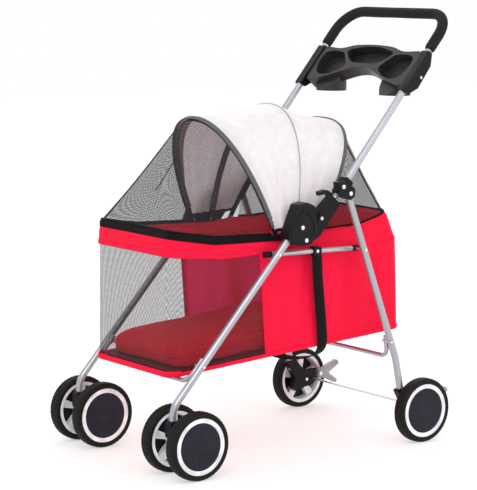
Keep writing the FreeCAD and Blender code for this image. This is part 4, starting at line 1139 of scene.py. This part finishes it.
HANDLE_HALF, HANDLE_BEND = 0.187, 0.062
GRIP_START, GRIP_END = 0.368, (0.4035 - 0.101) / math.cos(HANDLE_SLOPE)
GRIP_RADIUS, GRIP_ROUNDING, GRIP_STEP, GRIP_SIDES = 0.0124, 0.006, 0.004, 28
start, end = on_handle(GRIP_START), on_handle(GRIP_END)
route = [(HANDLE_HALF, *start), (HANDLE_HALF, *end), (-HANDLE_HALF, *end), (-HANDLE_HALF, *start)]
grip_path = [point for point, _ in spaced(rounded(route, HANDLE_BEND, 16), GRIP_STEP)]
normal = Vector((0, -math.sin(HANDLE_SLOPE), math.cos(HANDLE_SLOPE)))
last = len(grip_path) - 1
points = []
for index, (point, (side, rise)) in enumerate(zip(grip_path, frames(grip_path, normal, False))):
    end = min(index, last - index) * GRIP_STEP
    radius = GRIP_RADIUS * (0.80 + 0.20 * math.sqrt(min(end / GRIP_ROUNDING, 1.0)))
    for a, b in disc_section(1.0, GRIP_SIDES):
        out = side * a + rise * b
        points.append(point + out * (radius + 0.00035 * ripple(point + out * 0.02, 30, 2)))
faces = grid_faces(last + 1, GRIP_SIDES, closed=True) + end_faces(last + 1, GRIP_SIDES)
piece("grip_sleeve", points, faces, "grip_foam", "handle_frame", stands_for=("foam_grip",))

# ---------------------------------------------------------------- parent tray

TRAY_TOP, TRAY_LOW, WELL_FLOOR = 0.006, -0.027, -0.019
WELL_CLEAR = 0.020
# Outlines in the arms' plane: (sideways, along the arm).
TRAY_HALF = [(0.0, 0.307), (0.034, 0.302), (0.072, 0.286), (0.112, 0.271), (0.148, 0.262),
             (0.1762, 0.258), (0.1762, 0.361), (0.150, 0.359), (0.118, 0.356), (0.096, 0.360),
             (0.072, 0.368), (0.034, 0.371), (0.0, 0.372)]
WELL = [(0.094, 0.348), (0.157, 0.348), (0.165, 0.322), (0.157, 0.290), (0.136, 0.275),
        (0.100, 0.280), (0.072, 0.294), (0.058, 0.308), (0.078, 0.330)]
POCKET_HALF = [(0.0, 0.316), (0.046, 0.317), (0.066, 0.330), (0.088, 0.352), (0.050, 0.361), (0.030, 0.365),
               (0.0, 0.366)]
CUP_AT, CUP_OUTER, CUP_INNER = (0.116, 0.297), 0.0365, 0.0335
CUP_UNDER, CUP_FLOOR, CUP_MEETS_TRAY = 0.798, 0.801, -0.009


def mirrored(half):
    return half + [(-x, v) for x, v in half[-2:0:-1]]


def closed_smooth(outline, rounds):
    """Cuts the corners of a closed outline."""
    points = [Vector(point) for point in outline]
    for _ in range(rounds):
        points = [here.lerp(there, share)
                  for here, there in zip(points, points[1:] + points[:1]) for share in (0.25, 0.75)]
    return [tuple(point) for point in points]


def tray_point(x, v, above):
    return Vector((x, *on_handle(v, above)))


def shape_object(name, low_ring, high_ring):
    """A closed solid between two rings of points."""
    faces = grid_faces(2, len(low_ring), closed=True) + end_faces(2, len(low_ring))
    mesh = bpy.data.meshes.new(name)
    mesh.from_pydata([tuple(point) for point in low_ring + high_ring], [], faces)
    face_outwards(mesh)
    item = bpy.data.objects.new(name, mesh)
    scene.collection.objects.link(item)
    return item


def tray_prism(name, outline, low, high):
    low_ring, high_ring = [[tray_point(x, v, above) for x, v in outline] for above in (low, high)]
    return shape_object(name, low_ring, high_ring)


def cup_solid(name, sign, radius, low_z, above):
    """An upright cylinder that ends at a plane parallel to the tray's top."""
    low_ring, high_ring = [], []
    for k in range(48):
        angle = math.tau * k / 48
        x, y = sign * CUP_AT[0] + radius * math.cos(angle), CUP_AT[1] + radius * math.sin(angle)
        along = (y - on_handle(0, above)[0]) / math.cos(HANDLE_SLOPE)
        low_ring.append(Vector((x, y, low_z)))
        high_ring.append(Vector((x, y, on_handle(along, above)[1])))
    return shape_object(name, low_ring, high_ring)


tray = tray_prism("tray_moulding", closed_smooth(mirrored(TRAY_HALF), 2), TRAY_LOW, TRAY_TOP)
steps = [("UNION", cup_solid(f"tool_cup_{side}", sign, CUP_OUTER, CUP_UNDER, CUP_MEETS_TRAY))
         for side, sign in SIDES]
for side, sign in SIDES:
    outline = closed_smooth([(sign * x, v) for x, v in WELL], 3)
    steps.append(("DIFFERENCE", tray_prism(f"tool_well_{side}", outline, WELL_FLOOR, WELL_CLEAR)))
outline = closed_smooth(mirrored(POCKET_HALF), 2)
steps.append(("DIFFERENCE", tray_prism("tool_pocket", outline, WELL_FLOOR - 0.002, WELL_CLEAR)))
steps += [("DIFFERENCE", cup_solid(f"tool_bore_{side}", sign, CUP_INNER, CUP_FLOOR, WELL_FLOOR + 0.0002))
          for side, sign in SIDES]
for index, (operation, tool) in enumerate(steps):
    modifier = tray.modifiers.new(f"step_{index}", "BOOLEAN")
    modifier.operation = operation
    modifier.solver = "EXACT"
    modifier.object = tool
apply_all(tray)
for _, tool in steps:
    bpy.data.objects.remove(tool)
tray.data.materials.clear()
tray.data.materials.append(mat["tray_plastic"])
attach(tray, "handle_frame")
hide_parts("parent_tray")
rounder(tray, 0.0016, 3, 40)

# ---------------------------------------------------------------- tyres

# Across the tyre: (sideways, radius, kind), where the cuts of kinds 1 and 2 take turns.
TREAD_CUT = 0.0010
TYRE_PROFILE = [
    (-0.0138, 0.0621, 0), (-0.0147, 0.0640, 0), (-0.0150, 0.0668, 0), (-0.0149, 0.0692, 0),
    (-0.0140, 0.0712, 0), (-0.0126, 0.0727, 0), (-0.0118, 0.0728, 0), (-0.0114, 0.0738, 1),
    (-0.0096, 0.0744, 1), (-0.0070, 0.0748, 1), (-0.0042, 0.0750, 1), (-0.0036, 0.0742, 0),
    (-0.0026, 0.0742, 0), (-0.0020, 0.0750, 2), (0.0, 0.0750, 2),
]
TYRE_PROFILE += [(-u, r, kind) for u, r, kind in TYRE_PROFILE[-2::-1]]


def tyre(name, centre, body):
    """A foam tyre: rounded shoulders, two grooves round it, and short cuts across its ribs."""
    points = []
    around = 150
    for k in range(around):
        angle = math.tau * k / around
        for u, radius, kind in TYRE_PROFILE:
            cut = (kind == 1 and k % 3 == 0) or (kind == 2 and k % 3 == 1)
            deep = radius - (TREAD_CUT if cut else 0)
            points.append(Vector(centre) + Vector((u, deep * math.cos(angle), deep * math.sin(angle))))
    faces = grid_faces(around, len(TYRE_PROFILE), closed=True, looped=True)
    piece(name + "_tread", points, faces, "tyre", body, stands_for=(name + "_tyre",))


WHEEL_RADIUS, FRONT_AXLE_Y, REAR_AXLE_Y = 0.075, -0.341, 0.300
for side, sign in SIDES:
    for spot, x in (("outer", 0.2339), ("inner", 0.1401)):
        wheel = f"front_wheel_{side}_{spot}"
        tyre(wheel, (sign * x, FRONT_AXLE_Y, WHEEL_RADIUS), wheel)
    tyre(f"rear_wheel_{side}", (sign * 0.230, REAR_AXLE_Y, WHEEL_RADIUS), f"rear_wheel_{side}")

# ---------------------------------------------------------------- rivet domes


def dome(x, sign, y, z, radius, height):
    """A rivet head on the outside of a side, as points and faces."""
    points = []
    sides, lifts = 18, (0.0, 22.0, 45.0, 66.0, 82.0)
    for lift in lifts:
        out = sign * (x + height * math.sin(math.radians(lift)))
        across = radius * math.cos(math.radians(lift))
        points += [Vector((out, y + a, z + b)) for a, b in disc_section(across, sides)]
    return points, grid_faces(len(lifts), sides, closed=True) + end_faces(len(lifts), sides)


# Rivet heads on each body: (x, y, z, radius) on the left side.
RIVETS = {
    "front_frame": [(0.2045, -0.028, 0.491, 0.0054), (0.2045, -0.039, 0.520, 0.0054),
                    (0.1952, -0.094, 0.462, 0.0040), (0.1967, -0.2982, 0.234, 0.0038)],
    "handle_frame": [(0.2189, 0.085, 0.590, 0.0054), (0.2028, 0.016, 0.537, 0.0044),
                     (0.2189, 0.064, 0.606, 0.0054), (0.1999, *on_handle(0.300, -0.014), 0.0036)],
    "rear_frame": [(0.2143, 0.136, 0.459, 0.0040), (0.2159, 0.2165, 0.240, 0.0038)],
}
for body, spots in RIVETS.items():
    parts = []
    for x, y, z, radius in spots:
        for _, sign in SIDES:
            parts.append(dome(x, sign, y, z, radius, radius * 0.32))
    joined("rivet_domes_" + body, parts, "steel_pins", body)
for side, sign in SIDES:
    clip_rivet = dome(0.1799, sign, 0.024, 0.4605, 0.0042, 0.0014)
    joined(f"rivet_dome_clip_{side}", [clip_rivet], "steel_pins", f"side_rail_{side}")

# A raised bead round the leaf on each hinge housing's outer face.
HOUSING_FACE = 0.2030
LEAF = [(-0.033, 0.561), (-0.052, 0.538), (-0.073, 0.499), (-0.062, 0.4865),
        (-0.034, 0.4815), (-0.018, 0.487), (-0.001, 0.509), (-0.013, 0.541)]
for side, sign in SIDES:
    leaf = [Vector((sign * HOUSING_FACE, y, z)) for y, z in closed_smooth(LEAF, 3)]
    sweep(f"housing_leaf_{side}", leaf, disc_section(0.0019, 10), "black_plastic", "front_frame", up=(1, 0, 0),
          closed=True)

# ---------------------------------------------------------------- edges of the CAD mouldings

for name in ("hinge_housings", "latch_blocks", "leg_brackets", "wheel_brackets", "tray_clamps",
             "lock_hook_left", "lock_hook_right", "brake_pedal_left", "brake_pedal_right", "caster_fork_left",
             "caster_fork_right", "rail_fittings_left", "rail_fittings_right"):
    weld = cad[name].modifiers.new("weld", "WELD")
    weld.merge_threshold = 0.00001
    rounder(cad[name], 0.0010, 3, 40)
